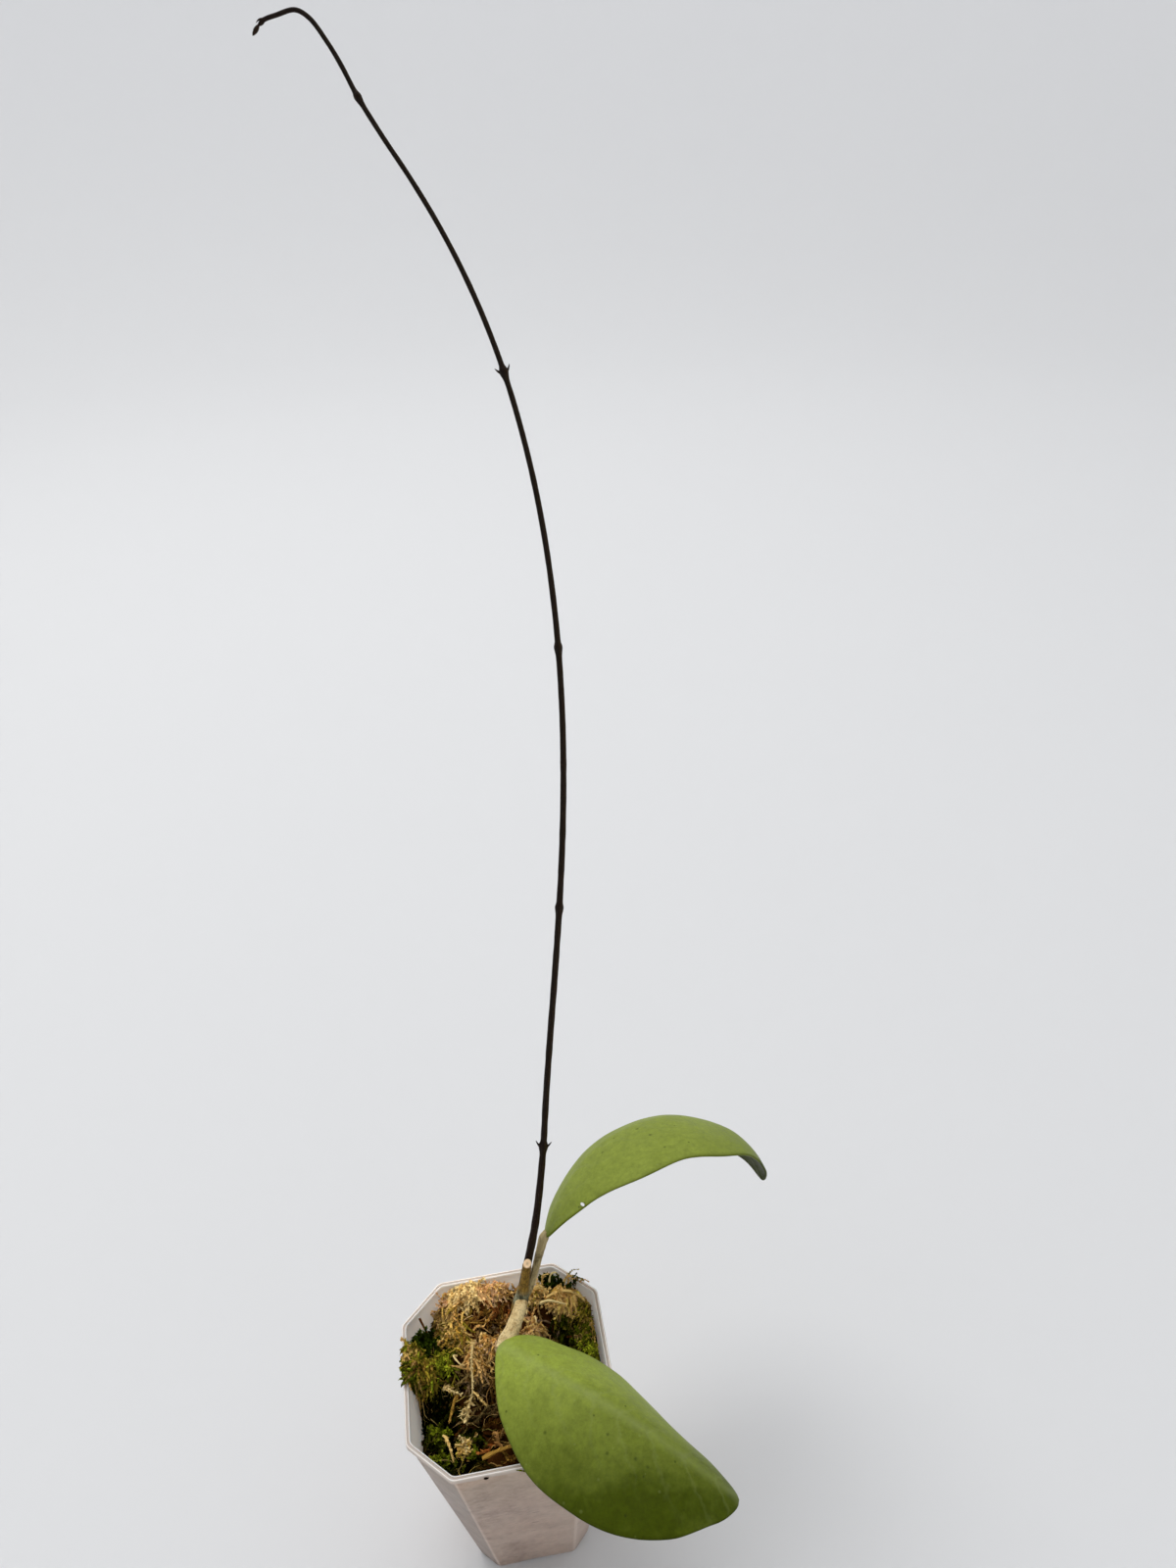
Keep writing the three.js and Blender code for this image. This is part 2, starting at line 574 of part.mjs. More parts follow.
// The runner: a tapering bar with swollen nodes, a pair of bracts at each and a hooked tip
function runner() {
  const curve = new THREE.CatmullRomCurve3(RUNNER_PATH.map(toVector));
  const fine = 10 * RUNNER.steps;
  const places = curve.getSpacedPoints(fine);
  const nodes = RUNNER_NODES.map((node) => ({ ...node, t: places.findIndex((p) => p.z >= node.z) / fine }));
  const first = nodes[0].t;
  const radiusAt = (t) => (t < first
    ? lerp(RUNNER.start, RUNNER.afterFirstNode, (t / first) ** 0.5)
    : lerp(RUNNER.afterFirstNode, RUNNER.end, ((t - first) / (1 - first)) ** 1.25));
  const solids = [toManifold(barAlong(curve, RUNNER, radiusAt))];
  nodes.forEach((node, n) => {
    const middle = curve.getPointAt(node.t);
    const along = curve.getTangentAt(node.t);
    const upright = new THREE.Quaternion().setFromUnitVectors(new THREE.Vector3(0, 1, 0), along);
    const thick = radiusAt(node.t) + node.swell;
    const swelling = new THREE.SphereGeometry(1, 8, 6).scale(thick, NODE_LENGTH / 2, thick);
    swelling.applyQuaternion(upright).translate(middle.x, middle.y, middle.z);
    solids.push(toManifold(swelling));
    const across = new THREE.Vector3(1, 0, 0).cross(along).normalize();
    across.applyAxisAngle(along, n % 2 === 0 ? Math.PI / 2 : Math.PI / 2.6);
    [-1, 1].forEach((way) => {
      const direction = along.clone().addScaledVector(across, way * BRACT.lean).normalize();
      const cone = new THREE.ConeGeometry(BRACT.radius, node.bract, BRACT.sides);
      cone.translate(0, node.bract / 2, 0);
      cone.applyQuaternion(new THREE.Quaternion().setFromUnitVectors(new THREE.Vector3(0, 1, 0), direction));
      const root = middle.clone().addScaledVector(across, way * BRACT.radius);
      cone.translate(root.x, root.y, root.z);
      solids.push(toManifold(cone));
    });
  });
  return toGeometry(largestBody(wasm.Manifold.union(solids)));
}

// Putting the pieces together
const plant = new THREE.Group();

function addPiece(name, geometry, finish) {
  const piece = new THREE.Mesh(geometry, new THREE.MeshStandardMaterial(finish));
  piece.name = name;
  plant.add(piece);
  return piece;
}

function leafKeepOut(leaf) {
  const holder = placeLeaf(new THREE.Object3D(), leaf);
  return toManifold(leafBlade(leaf, SEAT_GAP).applyMatrix4(holder.matrixWorld));
}

// A stalk, cut clear of the cutting's stem and of its leaf
function fittedStalk(path, settings, leafRoom) {
  const room = wasm.Manifold.union([stemRoom, leafRoom]);
  return toGeometry(largestBody(toManifold(stalk(path, settings)).subtract(room)));
}

const stemRoom = toManifold(oldStem(SEAT_GAP));
const frontLeafRoom = leafKeepOut(FRONT_LEAF);
const backLeafRoom = leafKeepOut(BACK_LEAF);
const moss = mossParts(wasm.Manifold.union([potSolid(SEAT_GAP), stemRoom, frontLeafRoom]));
const frontStalk = fittedStalk(FRONT_STALK_PATH, FRONT_STALK, frontLeafRoom);
const backStalk = fittedStalk(BACK_STALK_PATH, BACK_STALK, backLeafRoom);

addPiece('pot', pot(), FINISH.pot);
addPiece('moss_tan', moss.tan, FINISH.mossTan);
addPiece('moss_green_left', moss.left, FINISH.mossLeft);
addPiece('moss_green_right', moss.right, FINISH.mossRight);
addPiece('old_stem', oldStem(), FINISH.oldStem);
addPiece('front_leaf_stalk', frontStalk, FINISH.frontStalk);
addPiece('back_leaf_stalk', backStalk, FINISH.backStalk);
placeLeaf(addPiece('front_leaf', leafBlade(FRONT_LEAF), FINISH.frontLeaf), FRONT_LEAF);
placeLeaf(addPiece('back_leaf', leafBlade(BACK_LEAF), FINISH.backLeaf), BACK_LEAF);
addPiece('runner', runner(), FINISH.runner);

export default plant;
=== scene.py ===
"""A young hoya cutting in a tall, square pot of clear frosted plastic, packed with sphagnum moss.

Two thick leaves and one long dark runner leave the node of the old cutting. Lengths here are in
millimetres, in the part's own frame, and put_mesh turns them into metres.
"""

import math

import bpy
import numpy as np
from mathutils import Matrix, Vector


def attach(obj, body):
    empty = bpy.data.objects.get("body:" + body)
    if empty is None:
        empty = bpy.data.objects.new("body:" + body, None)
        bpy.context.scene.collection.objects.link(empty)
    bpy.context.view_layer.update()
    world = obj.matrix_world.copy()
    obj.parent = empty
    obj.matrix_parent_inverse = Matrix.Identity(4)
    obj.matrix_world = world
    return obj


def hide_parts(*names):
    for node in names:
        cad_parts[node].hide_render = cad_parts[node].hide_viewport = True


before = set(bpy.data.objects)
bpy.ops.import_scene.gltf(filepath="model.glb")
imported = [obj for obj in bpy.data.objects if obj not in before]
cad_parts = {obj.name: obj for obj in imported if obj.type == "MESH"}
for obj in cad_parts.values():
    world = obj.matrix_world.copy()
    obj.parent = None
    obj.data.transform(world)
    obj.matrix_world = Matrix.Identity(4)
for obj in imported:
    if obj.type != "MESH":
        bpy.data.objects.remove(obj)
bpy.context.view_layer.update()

MM = 0.001
BODY = "root"

# The view: from above the front of the pot, looking down along the runner
CAMERA_AT = (11.49, -180.57, 386.06)
CAMERA_FORWARD = (0.1002, 0.8212, -0.5618)
CAMERA_UP = (0.1375, 0.5477, 0.8253)
CAMERA_LENS = 27.07

# The pot: widths across the flats, and what a corner loses to its cut
POT_HEIGHT = 77.0
RIM_WIDTH, RIM_CUT = 56.0, 11.2
WALL_TOP_WIDTH, WALL_TOP_CUT = 54.6, 10.8
BASE_WIDTH, BASE_CUT = 33.0, 5.2
LIP = 1.5
WALL = 0.7
FLOOR_UNDERSIDE, FLOOR_TOP = 1.0, 2.2
FOOT_WIDTH = 1.5
NOTCH_WIDTH, NOTCH_HEIGHT = 9.5, 0.7
DRAIN_RADIUS, DRAIN_REACH, DRAIN_COUNT = 1.9, 8.5, 4
CORNER_ROUND = 1.1
CORNER_STEPS = 7
# Profiles of the pot as (height, how far in): the foot, then the lip and the flange on the rim.
# The lip hangs outside the wall; the flange has a bead at each edge and a shallow step between.
FOOT_PROFILE = ((FLOOR_UNDERSIDE, FOOT_WIDTH), (0.15, FOOT_WIDTH), (0, FOOT_WIDTH - 0.15), (0, 0.3),
                (0.1, 0.1), (0.35, 0))
OUTER_HEIGHTS = (1.2, 12, 28, 44, 60, 72, 75.6, 76.0)
LIP_PROFILE = ((0.1, 0.46), (0, 0.36), (0, 0.14), (0.12, 0.0))
FLANGE_PROFILE = ((-0.3, 0.0), (-0.08, 0.08), (0, 0.22), (0, 0.34), (-0.08, 0.44), (-0.34, 0.50),
                  (-0.34, 0.92), (-0.1, 0.98), (0, 1.08), (0, 1.24), (-0.15, 1.34))
INNER_HEIGHTS = (76.4, 74, 66, 50, 34, 18, 6, 3.6)
INNER_FLOOR = ((2.7, WALL + 0.12), (2.35, WALL + 0.5), (FLOOR_TOP, WALL + 1.3))
# Which rings of the pot belong together
OUTSIDE, UNDER_LIP, LIP_FACE, FLANGE = slice(0, 13), 13, slice(14, 19), slice(19, 30)
RIM, OUTER_BEAD, INNER_BEAD = slice(14, 30), slice(21, 23), slice(27, 30)

# The moss bed: its level, and the heaps and hollows as (x, y, rise, spread)
MOSS_LEVEL = 72.5
MOSS_WALL_GAP = 0.4
MOSS_LUMPS = (
    (-25, 8, 5.5, 5), (-25, -9, -5.5, 8), (-21, 20, -4.5, 5), (-9, 22, 3, 6), (12, 26, -6, 4),
    (12, 19, 2.5, 3.5), (20, 21, 2.5, 4.5), (24, 4, 1.5, 6), (16, 10, -6, 4.5), (-2, 16, -5, 3.5),
    (-6, -4, -5, 4.5), (-18, -18, -5, 6), (-3, -23, 1.5, 5), (1, 6, 2, 5),
)
LEFT_GREEN = ((-40, 15), (-21, 14.5), (-16, 7), (-17, -3), (-9, -10), (-8, -40), (-40, -40))
RIGHT_GREEN = ((40, 40), (9, 40), (11, 21), (19, 17), (21, 2), (20, -9), (40, -9))

# Colours of single moss strands, in linear light
# The near-black 'dark' is painted shade for strands in hollows and gaps; a dark crumb on the rim uses it too
TINTS = {name: np.array(tint) for name, tint in {
    "tan": (0.76, 0.47, 0.16), "straw": (0.93, 0.65, 0.23), "cream": (0.97, 0.75, 0.34),
    "golden": (0.46, 0.26, 0.05), "rust": (0.32, 0.11, 0.025), "dark": (0.010, 0.006, 0.0012),
    "pink": (0.95, 0.64, 0.36), "olive": (0.35, 0.275, 0.03), "leafy": (0.13, 0.155, 0.008),
    "bright": (0.27, 0.30, 0.018), "deep": (0.020, 0.032, 0.002),
}.items()}

# The plant's routes, from the frame's own solids
OLD_STEM_PATH = ((-6, 0, 44), (-3.5, 2.5, 60), (-1, 5, 73), (3.4, 8.4, 82), (6.6, 10.8, 89.2),
                 (8, 12.2, 94), (9.3, 13.2, 99.6))
OLD_STEM_RADIUS, STUB_RADIUS, NODE_AT, NODE_SWELL = 1.55, 1.25, 0.8, 0.7
FRONT_STALK_PATH = ((6.5, 9.9, 88.8), (5.5, 7.4, 88.6), (4.1, 4.9, 88.0), (2.4, 2.2, 87.1), (0.6, 0.1, 86.6),
                    (-0.9, -2.0, 86.9))
BACK_STALK_PATH = ((7.8, 11.4, 88.6), (9.2, 12.4, 90.4), (10.8, 14.6, 93), (12.6, 17.2, 96.4),
                   (15, 19.9, 101.2), (15.9, 20.6, 102.3))
RUNNER_PATH = (
    (6.9, 12.2, 89.4), (8.2, 14.4, 93.2), (10, 16.4, 98.1), (12.95, 19.85, 107.1), (15.6, 24.1, 117),
    (18.13, 29.06, 128.01), (20.59, 34.66, 140.6), (23.61, 40.99, 155.01), (27.04, 47.91, 170.9),
    (30.46, 55.1, 187.5), (33.34, 61.85, 203.13), (35.68, 68.5, 218.52), (37.39, 75.07, 233.68),
    (38.41, 81.66, 248.83), (38.67, 87.6, 262.43), (38.28, 93.4, 275.61), (37.15, 99.26, 288.83),
    (35.28, 104.9, 301.44), (33.43, 108.91, 310.32), (31.33, 112.54, 318.28), (28.64, 116.37, 326.6),
    (25.43, 120.22, 334.84), (21.67, 124.1, 343.02), (17.35, 128, 351.13), (12.48, 132.01, 359.41),
    (8.11, 135.86, 367.51), (5.52, 138.6, 373.51), (3.2, 140.7, 378.0), (-0.2, 143.1, 383),
    (-3, 144.1, 384.6), (-7.2, 144.4, 383.9), (-10.6, 144.6, 383), (-11.9, 144.3, 381.9),
)
# Nodes of the runner: height, swelling, length of the bracts, and the way that the first one points
RUNNER_NODES = (
    (127.8, 0.36, 2.2, (1, -0.16, 0)), (187.5, 0.26, 1.2, (0.2, 0.98, 0)), (248.9, 0.26, 1.2, (0.6, 0.8, 0)),
    (310.3, 0.34, 2.0, (1, 0.1, 0)), (367.5, 0.24, 1.2, (-0.35, -0.93, 0)),
)
RUNNER_START, RUNNER_AFTER_NODE, RUNNER_END = 1.0, 0.72, 0.36

# The leaves: lengths, angles and half widths left and right of the midrib
WIDTH_STATIONS = (0, 0.15, 0.32, 0.5, 0.68, 0.84, 0.94, 1)
BASE_ROUND, TIP_ROUND = 0.14, 0.06
CURL_START = 0.75
DROOP_SPAN = 25
FRONT_LEAF = {
    "length": 73.5, "arch": 41.5, "tip_curl": 7.8, "side": 22.1, "fold": 21.5, "droop": 29.3,
    "twist": -34.7, "turn": (-17, 7.1, -39.7), "base": (-1.15, -1.5, 89.64),
    "left": (5.5, 15.6, 22.7, 24.5, 23.3, 17.5, 9.3, 4.7),
    "right": (10.4, 12, 19, 24.1, 23.1, 16.9, 8.9, 4.3), "tip_fold": 0.9,
}
BACK_LEAF = {
    "length": 91.7, "arch": 134.7, "tip_curl": 19.3, "side": 3.5, "fold": 9.3, "droop": 22.7,
    "twist": 8.6, "turn": (-40.9, 8.6, 12.7), "base": (15.1, 19.8, 101),
    "left": (6.9, 15.8, 24.2, 24.8, 23.1, 15.3, 8.4, 3.4),
    "right": (7.9, 16.2, 23.5, 24.9, 22.8, 15.2, 5.5, 3.5), "tip_fold": 1.5,
}
# Half the blade's thickness, and how soon its slope across is reached beside the midrib
BLADE_MIDDLE, BLADE_MARGIN = 0.72, 0.34
FOLD_EASE = 3.0
# Dark marks on the leaves: share of the length, share of the half width, radius
FRONT_MARKS = ((0.328, -0.55, 0.7), (0.522, -0.238, 0.6), (0.548, -0.387, 0.7), (0.635, -0.30, 0.7),
               (0.68, -0.312, 0.6))
BACK_MARKS = ((0.438, -0.213, 0.8), (0.452, -0.438, 0.8), (0.46, -0.738, 0.6), (0.302, -0.262, 0.6))
# Where the painted shade of a drip tip begins along a leaf; beyond any leaf, there is none
NO_HOOK = 999
# How bright the sky is in front of the plant and behind it
SKY_FRONT, SKY_BACK = 0.25, 1.1


# Shaping helpers

def smoothstep(x):
    x = np.clip(x, 0, 1)
    return x * x * (3 - 2 * x)


def blend(a, b, t):
    return a + (b - a) * t


def around(sides):
    """Evenly spaced angles round a circle."""
    return np.arange(sides) / sides * 2 * math.pi


def bell(x, width):
    return np.exp(-(x / width) ** 2)


def run_along(path):
    """The distance along a path at each of its points."""
    return np.concatenate([[0], np.cumsum(np.linalg.norm(np.diff(path, axis=0), axis=1))])


def ripples(points, wavelength, seed):
    """A smooth, repeatable field from about -1 to 1 over space."""
    rng = np.random.default_rng(seed)
    points = np.asarray(points, float)
    total = np.zeros(points.shape[:-1])
    for _ in range(6):
        direction = rng.normal(size=3)
        direction *= 2 * math.pi / (wavelength * np.linalg.norm(direction))
        total += np.sin(points @ direction + rng.uniform(0, 2 * math.pi))
    return total / 3.2


def between(at, stations, values):
    """Points or directions between those given at some stations."""
    return np.stack([np.interp(at, stations, values[:, k]) for k in range(3)], axis=-1)


def smooth_path(points, count):
    """Evenly spaced points on a smooth curve through the given ones."""
    points = np.asarray(points, float)
    first = 2 * points[0] - points[1]
    last = 2 * points[-1] - points[-2]
    padded = np.vstack([first, points, last])
    fine = []
    for k in range(1, len(padded) - 2):
        p0, p1, p2, p3 = padded[k - 1:k + 3]
        d0, d1, d2 = (np.linalg.norm(b - a) ** 0.5 for a, b in ((p0, p1), (p1, p2), (p2, p3)))
        m1 = ((p1 - p0) / d0 - (p2 - p0) / (d0 + d1) + (p2 - p1) / d1) * d1
        m2 = ((p2 - p1) / d1 - (p3 - p1) / (d1 + d2) + (p3 - p2) / d2) * d1
        t = np.linspace(0, 1, 24, endpoint=False)[:, None]
        h = 2 * t ** 3 - 3 * t ** 2
        fine.append((1 + h) * p1 + (t ** 3 - 2 * t ** 2 + t) * m1 - h * p2 + (t ** 3 - t ** 2) * m2)
    fine = np.vstack(fine + [points[-1:]])
    run = run_along(fine)
    return between(np.linspace(0, run[-1], count), run, fine)


def frames_along(path):
    """Directions along a path, and two directions across it that don't spin."""
    along = np.gradient(path, axis=0)
    along /= np.linalg.norm(along, axis=1)[:, None]
    start = np.cross(along[0], (0.3, 0.5, 0.8) if abs(along[0][2]) < 0.9 else (1, 0, 0))
    across = np.zeros_like(path)
    across[0] = start / np.linalg.norm(start)
    for k in range(1, len(path)):
        carried = across[k - 1] - along[k] * (across[k - 1] @ along[k])
        across[k] = carried / np.linalg.norm(carried)
    return along, across, np.cross(along, across)


def outward(across, over, angles):
    """Directions at some angles round a path, from its two directions across."""
    return across[..., None, :] * np.cos(angles)[:, None] + over[..., None, :] * np.sin(angles)[:, None]


class Shape:
    """Points and faces gathered into one mesh, with a tint and a surface coordinate for each point."""

    def __init__(self):
        self.points, self.faces, self.tints, self.surface = [], [], [], []
        self.count = 0

    def add(self, points, faces, tints=(1, 1, 1), surface=(0, 0)):
        points = np.asarray(points, float).reshape(-1, 3)
        faces = np.asarray(faces, int) + self.count
        self.points.append(points)
        self.faces.append(faces)
        self.tints.append(np.broadcast_to(np.asarray(tints, float), (len(points), 3)))
        self.surface.append(np.broadcast_to(np.asarray(surface, float), (len(points), 2)))
        self.count += len(points)

    def all_points(self):
        return np.vstack(self.points)

    def all_faces(self):
        return [face for block in self.faces for face in block.tolist()]


def ring_faces(rings, sides):
    """Faces between rings of points, and a fan to a middle point at each end."""
    i, j = np.meshgrid(np.arange(rings - 1), np.arange(sides), indexing="ij")
    a = (i * sides + j).ravel()
    b = (i * sides + (j + 1) % sides).ravel()
    quads = np.column_stack([a, b, b + sides, a + sides])
    start, end = rings * sides, rings * sides + 1
    j = np.arange(sides)
    k = (j + 1) % sides
    last = (rings - 1) * sides
    fans = np.vstack([
        np.column_stack([np.full(sides, start), k, j]),
        np.column_stack([np.full(sides, end), last + j, last + k]),
    ])
    return quads, fans


def tube(shape, path, radii, sides, tints=(1, 1, 1)):
    """A closed bar along a path. Radii hold one value for each point, or for each point and side."""
    _, across, over = frames_along(path)
    angles = around(sides)
    radii = np.asarray(radii, float)
    if radii.ndim == 1:
        radii = np.repeat(radii[:, None], sides, axis=1)
    rings = path[:, None] + outward(across, over, angles) * radii[..., None]
    surface = np.stack(np.broadcast_arrays(angles[None] * radii.mean(), run_along(path)[:, None]), axis=-1)
    tints = np.asarray(tints, float)
    if tints.ndim == 2:
        tints = np.vstack([np.repeat(tints, sides, axis=0), tints[:1], tints[-1:]])
    quads, fans = ring_faces(len(path), sides)
    surface = np.vstack([surface.reshape(-1, 2), surface[0, :1], surface[-1, :1]])
    points = np.vstack([rings.reshape(-1, 3), path[0], path[-1]])
    shape.add(points, quads, tints, surface)
    shape.faces.append(fans + shape.count - len(points))


def put_object(name, data):
    made = bpy.data.objects.new(name, data)
    bpy.context.scene.collection.objects.link(made)
    return made


def put_mesh(name, shape, material, smooth_below=40):
    """A mesh object, in metres, from a shape in millimetres."""
    mesh = bpy.data.meshes.new(name)
    mesh.from_pydata((shape.all_points() * MM).tolist(), [], shape.all_faces())
    tint = mesh.color_attributes.new("tint", "FLOAT_COLOR", "POINT")
    tints = np.vstack(shape.tints)
    tint.data.foreach_set("color", np.column_stack([tints, np.ones(len(tints))]).astype(np.float32).ravel())
    layer = mesh.uv_layers.new(name="surface")
    corners = np.zeros(len(mesh.loops), np.int32)
    mesh.loops.foreach_get("vertex_index", corners)
    layer.data.foreach_set("uv", np.vstack(shape.surface)[corners].astype(np.float32).ravel())
    mesh.polygons.foreach_set("use_smooth", np.ones(len(mesh.polygons), bool))
    if smooth_below:
        mesh.set_sharp_from_angle(angle=math.radians(smooth_below))
    mesh.materials.append(material)
    return put_object(name, mesh)


def cut_away(piece, cutters):
    """Cuts the cutters out of a piece and removes them."""
    for cutter in cutters:
        step = piece.modifiers.new("cut", "BOOLEAN")
        step.operation, step.solver, step.object = "DIFFERENCE", "EXACT", cutter
    bpy.context.view_layer.update()
    result = bpy.data.meshes.new_from_object(piece.evaluated_get(bpy.context.evaluated_depsgraph_get()))
    piece.modifiers.clear()
    piece.data = result
    for cutter in cutters:
        bpy.data.objects.remove(cutter)


def peg(name, radius, length, centre, direction=(0, 0, 1), sides=20):
    """A plain round peg to cut with."""
    half = Vector(direction).normalized() * length / 2
    shape = Shape()
    tube(shape, np.array([Vector(centre) - half, Vector(centre) + half]), np.full(2, radius), sides)
    return put_mesh(name, shape, None, smooth_below=0)


def dress(piece, slot, *nodes):
    """Puts a piece on the body, in place of its solids; the slot argument is not used."""
    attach(piece, BODY)
    if nodes:
        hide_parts(*nodes)


# Materials

class Value:
    """A number or colour that varies over a surface. Plain sums with values make math nodes."""

    def __init__(self, tree, socket):
        self.tree, self.socket = tree, socket

    def __add__(self, other):
        return calc("ADD", self, other)

    def __sub__(self, other):
        return calc("SUBTRACT", self, other)

    def __rsub__(self, other):
        return calc("SUBTRACT", other, self)

    def __mul__(self, other):
        return calc("MULTIPLY", self, other)

    def __truediv__(self, other):
        return calc("DIVIDE", self, other)

    def __rtruediv__(self, other):
        return calc("DIVIDE", other, self)

    def __pow__(self, other):
        return calc("POWER", self, other)

    def __abs__(self):
        return calc("ABSOLUTE", self)

    def clipped(self):
        """The same value, kept between 0 and 1."""
        self.socket.node.use_clamp = True
        return self

    def parts(self, kind):
        """The three channels of a colour, or the three coordinates of a point."""
        first = node(self.tree, "ShaderNodeSeparate" + kind, {0: self})
        return [Value(self.tree, socket) for socket in first.socket.node.outputs]

    def scaled(self, factors):
        return node(self.tree, "ShaderNodeVectorMath", {0: self, 1: factors}, operation="MULTIPLY")


def node(tree, kind, inputs, output=0, **settings):
    """An output of a new shader node with its settings; each input is a plain value or another output."""
    made = tree.nodes.new(kind)
    for key, value in settings.items():
        setattr(made, key, value)
    for key, value in inputs.items():
        if isinstance(value, Value):
            tree.links.new(value.socket, made.inputs[key])
        else:
            made.inputs[key].default_value = value
    return Value(tree, made.outputs[output])


def tree_of(*values):
    return next(value.tree for value in values if isinstance(value, Value))


def calc(operation, *values):
    return node(tree_of(*values), "ShaderNodeMath", dict(enumerate(values)), operation=operation)


def mixed(factor, a, b, blend_type="MIX"):
    """A colour between a and b, or a changed by b in another way."""
    first, second = ((*colour, 1) if isinstance(colour, tuple) else colour for colour in (a, b))
    return node(tree_of(factor, a, b), "ShaderNodeMix", {0: factor, 6: first, 7: second}, 2,
                data_type="RGBA", blend_type=blend_type)


def spread(value, low, high, to_low=0.0, to_high=1.0):
    return node(value.tree, "ShaderNodeMapRange", {0: value, 1: low, 2: high, 3: to_low, 4: to_high})


def grey(value):
    return node(value.tree, "ShaderNodeCombineColor", {0: value, 1: value, 2: value})


def new_group(name, **inputs):
    """An empty node group that puts out a mask, and its named inputs; None stands for a vector."""
    group = bpy.data.node_groups.new(name, "ShaderNodeTree")
    for label, value in inputs.items():
        kind = "NodeSocketVector" if value is None else "NodeSocketFloat"
        socket = group.interface.new_socket(name=label, in_out="INPUT", socket_type=kind)
        if value is not None:
            socket.default_value = value
    group.interface.new_socket(name="Mask", in_out="OUTPUT", socket_type="NodeSocketFloat")
    start = group.nodes.new("NodeGroupInput")
    return group, [Value(group, start.outputs[label]) for label in inputs]


def put_out(group, mask):
    group.links.new(mask.socket, group.nodes.new("NodeGroupOutput").inputs["Mask"])
    return group


def make_mottle():
    """Soft cloudy patches over finer ones, spread out to a mask from 0 to 1."""
    group, (vector, size, contrast) = new_group("mottle", Vector=None, Size=4.0, Contrast=1.0)
    scale = 1.0 / size
    broad = {"Vector": vector, "Scale": scale, "Detail": 3.0, "Roughness": 0.6}
    small = {"Vector": vector, "Scale": scale * 5.3, "Detail": 2.0}
    both = node(group, "ShaderNodeTexNoise", broad) * 0.7 + node(group, "ShaderNodeTexNoise", small) * 0.3
    return put_out(group, ((both - 0.5) * contrast + 0.5).clipped())


def make_specks():
    """Small round dots of differing size, one in a share of evenly spread cells."""
    group, labels = new_group("specks", Vector=None, Spacing=5.0, Radius=0.3, Share=0.3)
    vector, spacing, radius, share = labels
    cells = {"Vector": vector, "Scale": 1.0 / spacing}
    away = node(group, "ShaderNodeTexVoronoi", cells, "Distance", voronoi_dimensions="2D")
    chance, bulk, _ = Value(group, away.socket.node.outputs["Color"]).parts("Color")
    inside = (1.0 - away * spacing / (radius * (bulk * 0.8 + 0.5))).clipped()
    return put_out(group, (inside * 2.0).clipped() * calc("LESS_THAN", chance, share))


MOTTLE = make_mottle()
SPECKS = make_specks()


def mottle(vector, size, contrast):
    sizes = {"Vector": vector, "Size": size, "Contrast": contrast}
    return node(vector.tree, "ShaderNodeGroup", sizes, "Mask", node_tree=MOTTLE)


def specks(vector, spacing, radius, share):
    sizes = {"Vector": vector, "Spacing": spacing, "Radius": radius, "Share": share}
    return node(vector.tree, "ShaderNodeGroup", sizes, "Mask", node_tree=SPECKS)


class Finish:
    """A material with its main shader, and what its pattern starts from."""

    def __init__(self, name, **shader_values):
        self.material = bpy.data.materials.new(name)
        self.material.use_nodes = True
        self.tree = self.material.node_tree
        self.shader = self.tree.nodes["Principled BSDF"]
        for key, value in shader_values.items():
            self.shader.inputs[key.replace("_", " ")].default_value = value

    def metres(self):
        return node(self.tree, "ShaderNodeTexCoord", {}, "Object")

    def place(self):
        """The object's own coordinates, in millimetres."""
        return self.metres().scaled((1 / MM,) * 3)

    def surface(self):
        return node(self.tree, "ShaderNodeUVMap", {}, uv_map="surface")

    def tint(self):
        return node(self.tree, "ShaderNodeVertexColor", {}, layer_name="tint")

    def feed(self, label, value):
        self.tree.links.new(value.socket, self.shader.inputs[label])

    def bump(self, height, strength, distance):
        relief = {"Height": height, "Strength": strength, "Distance": distance}
        self.feed("Normal", node(self.tree, "ShaderNodeBump", relief))


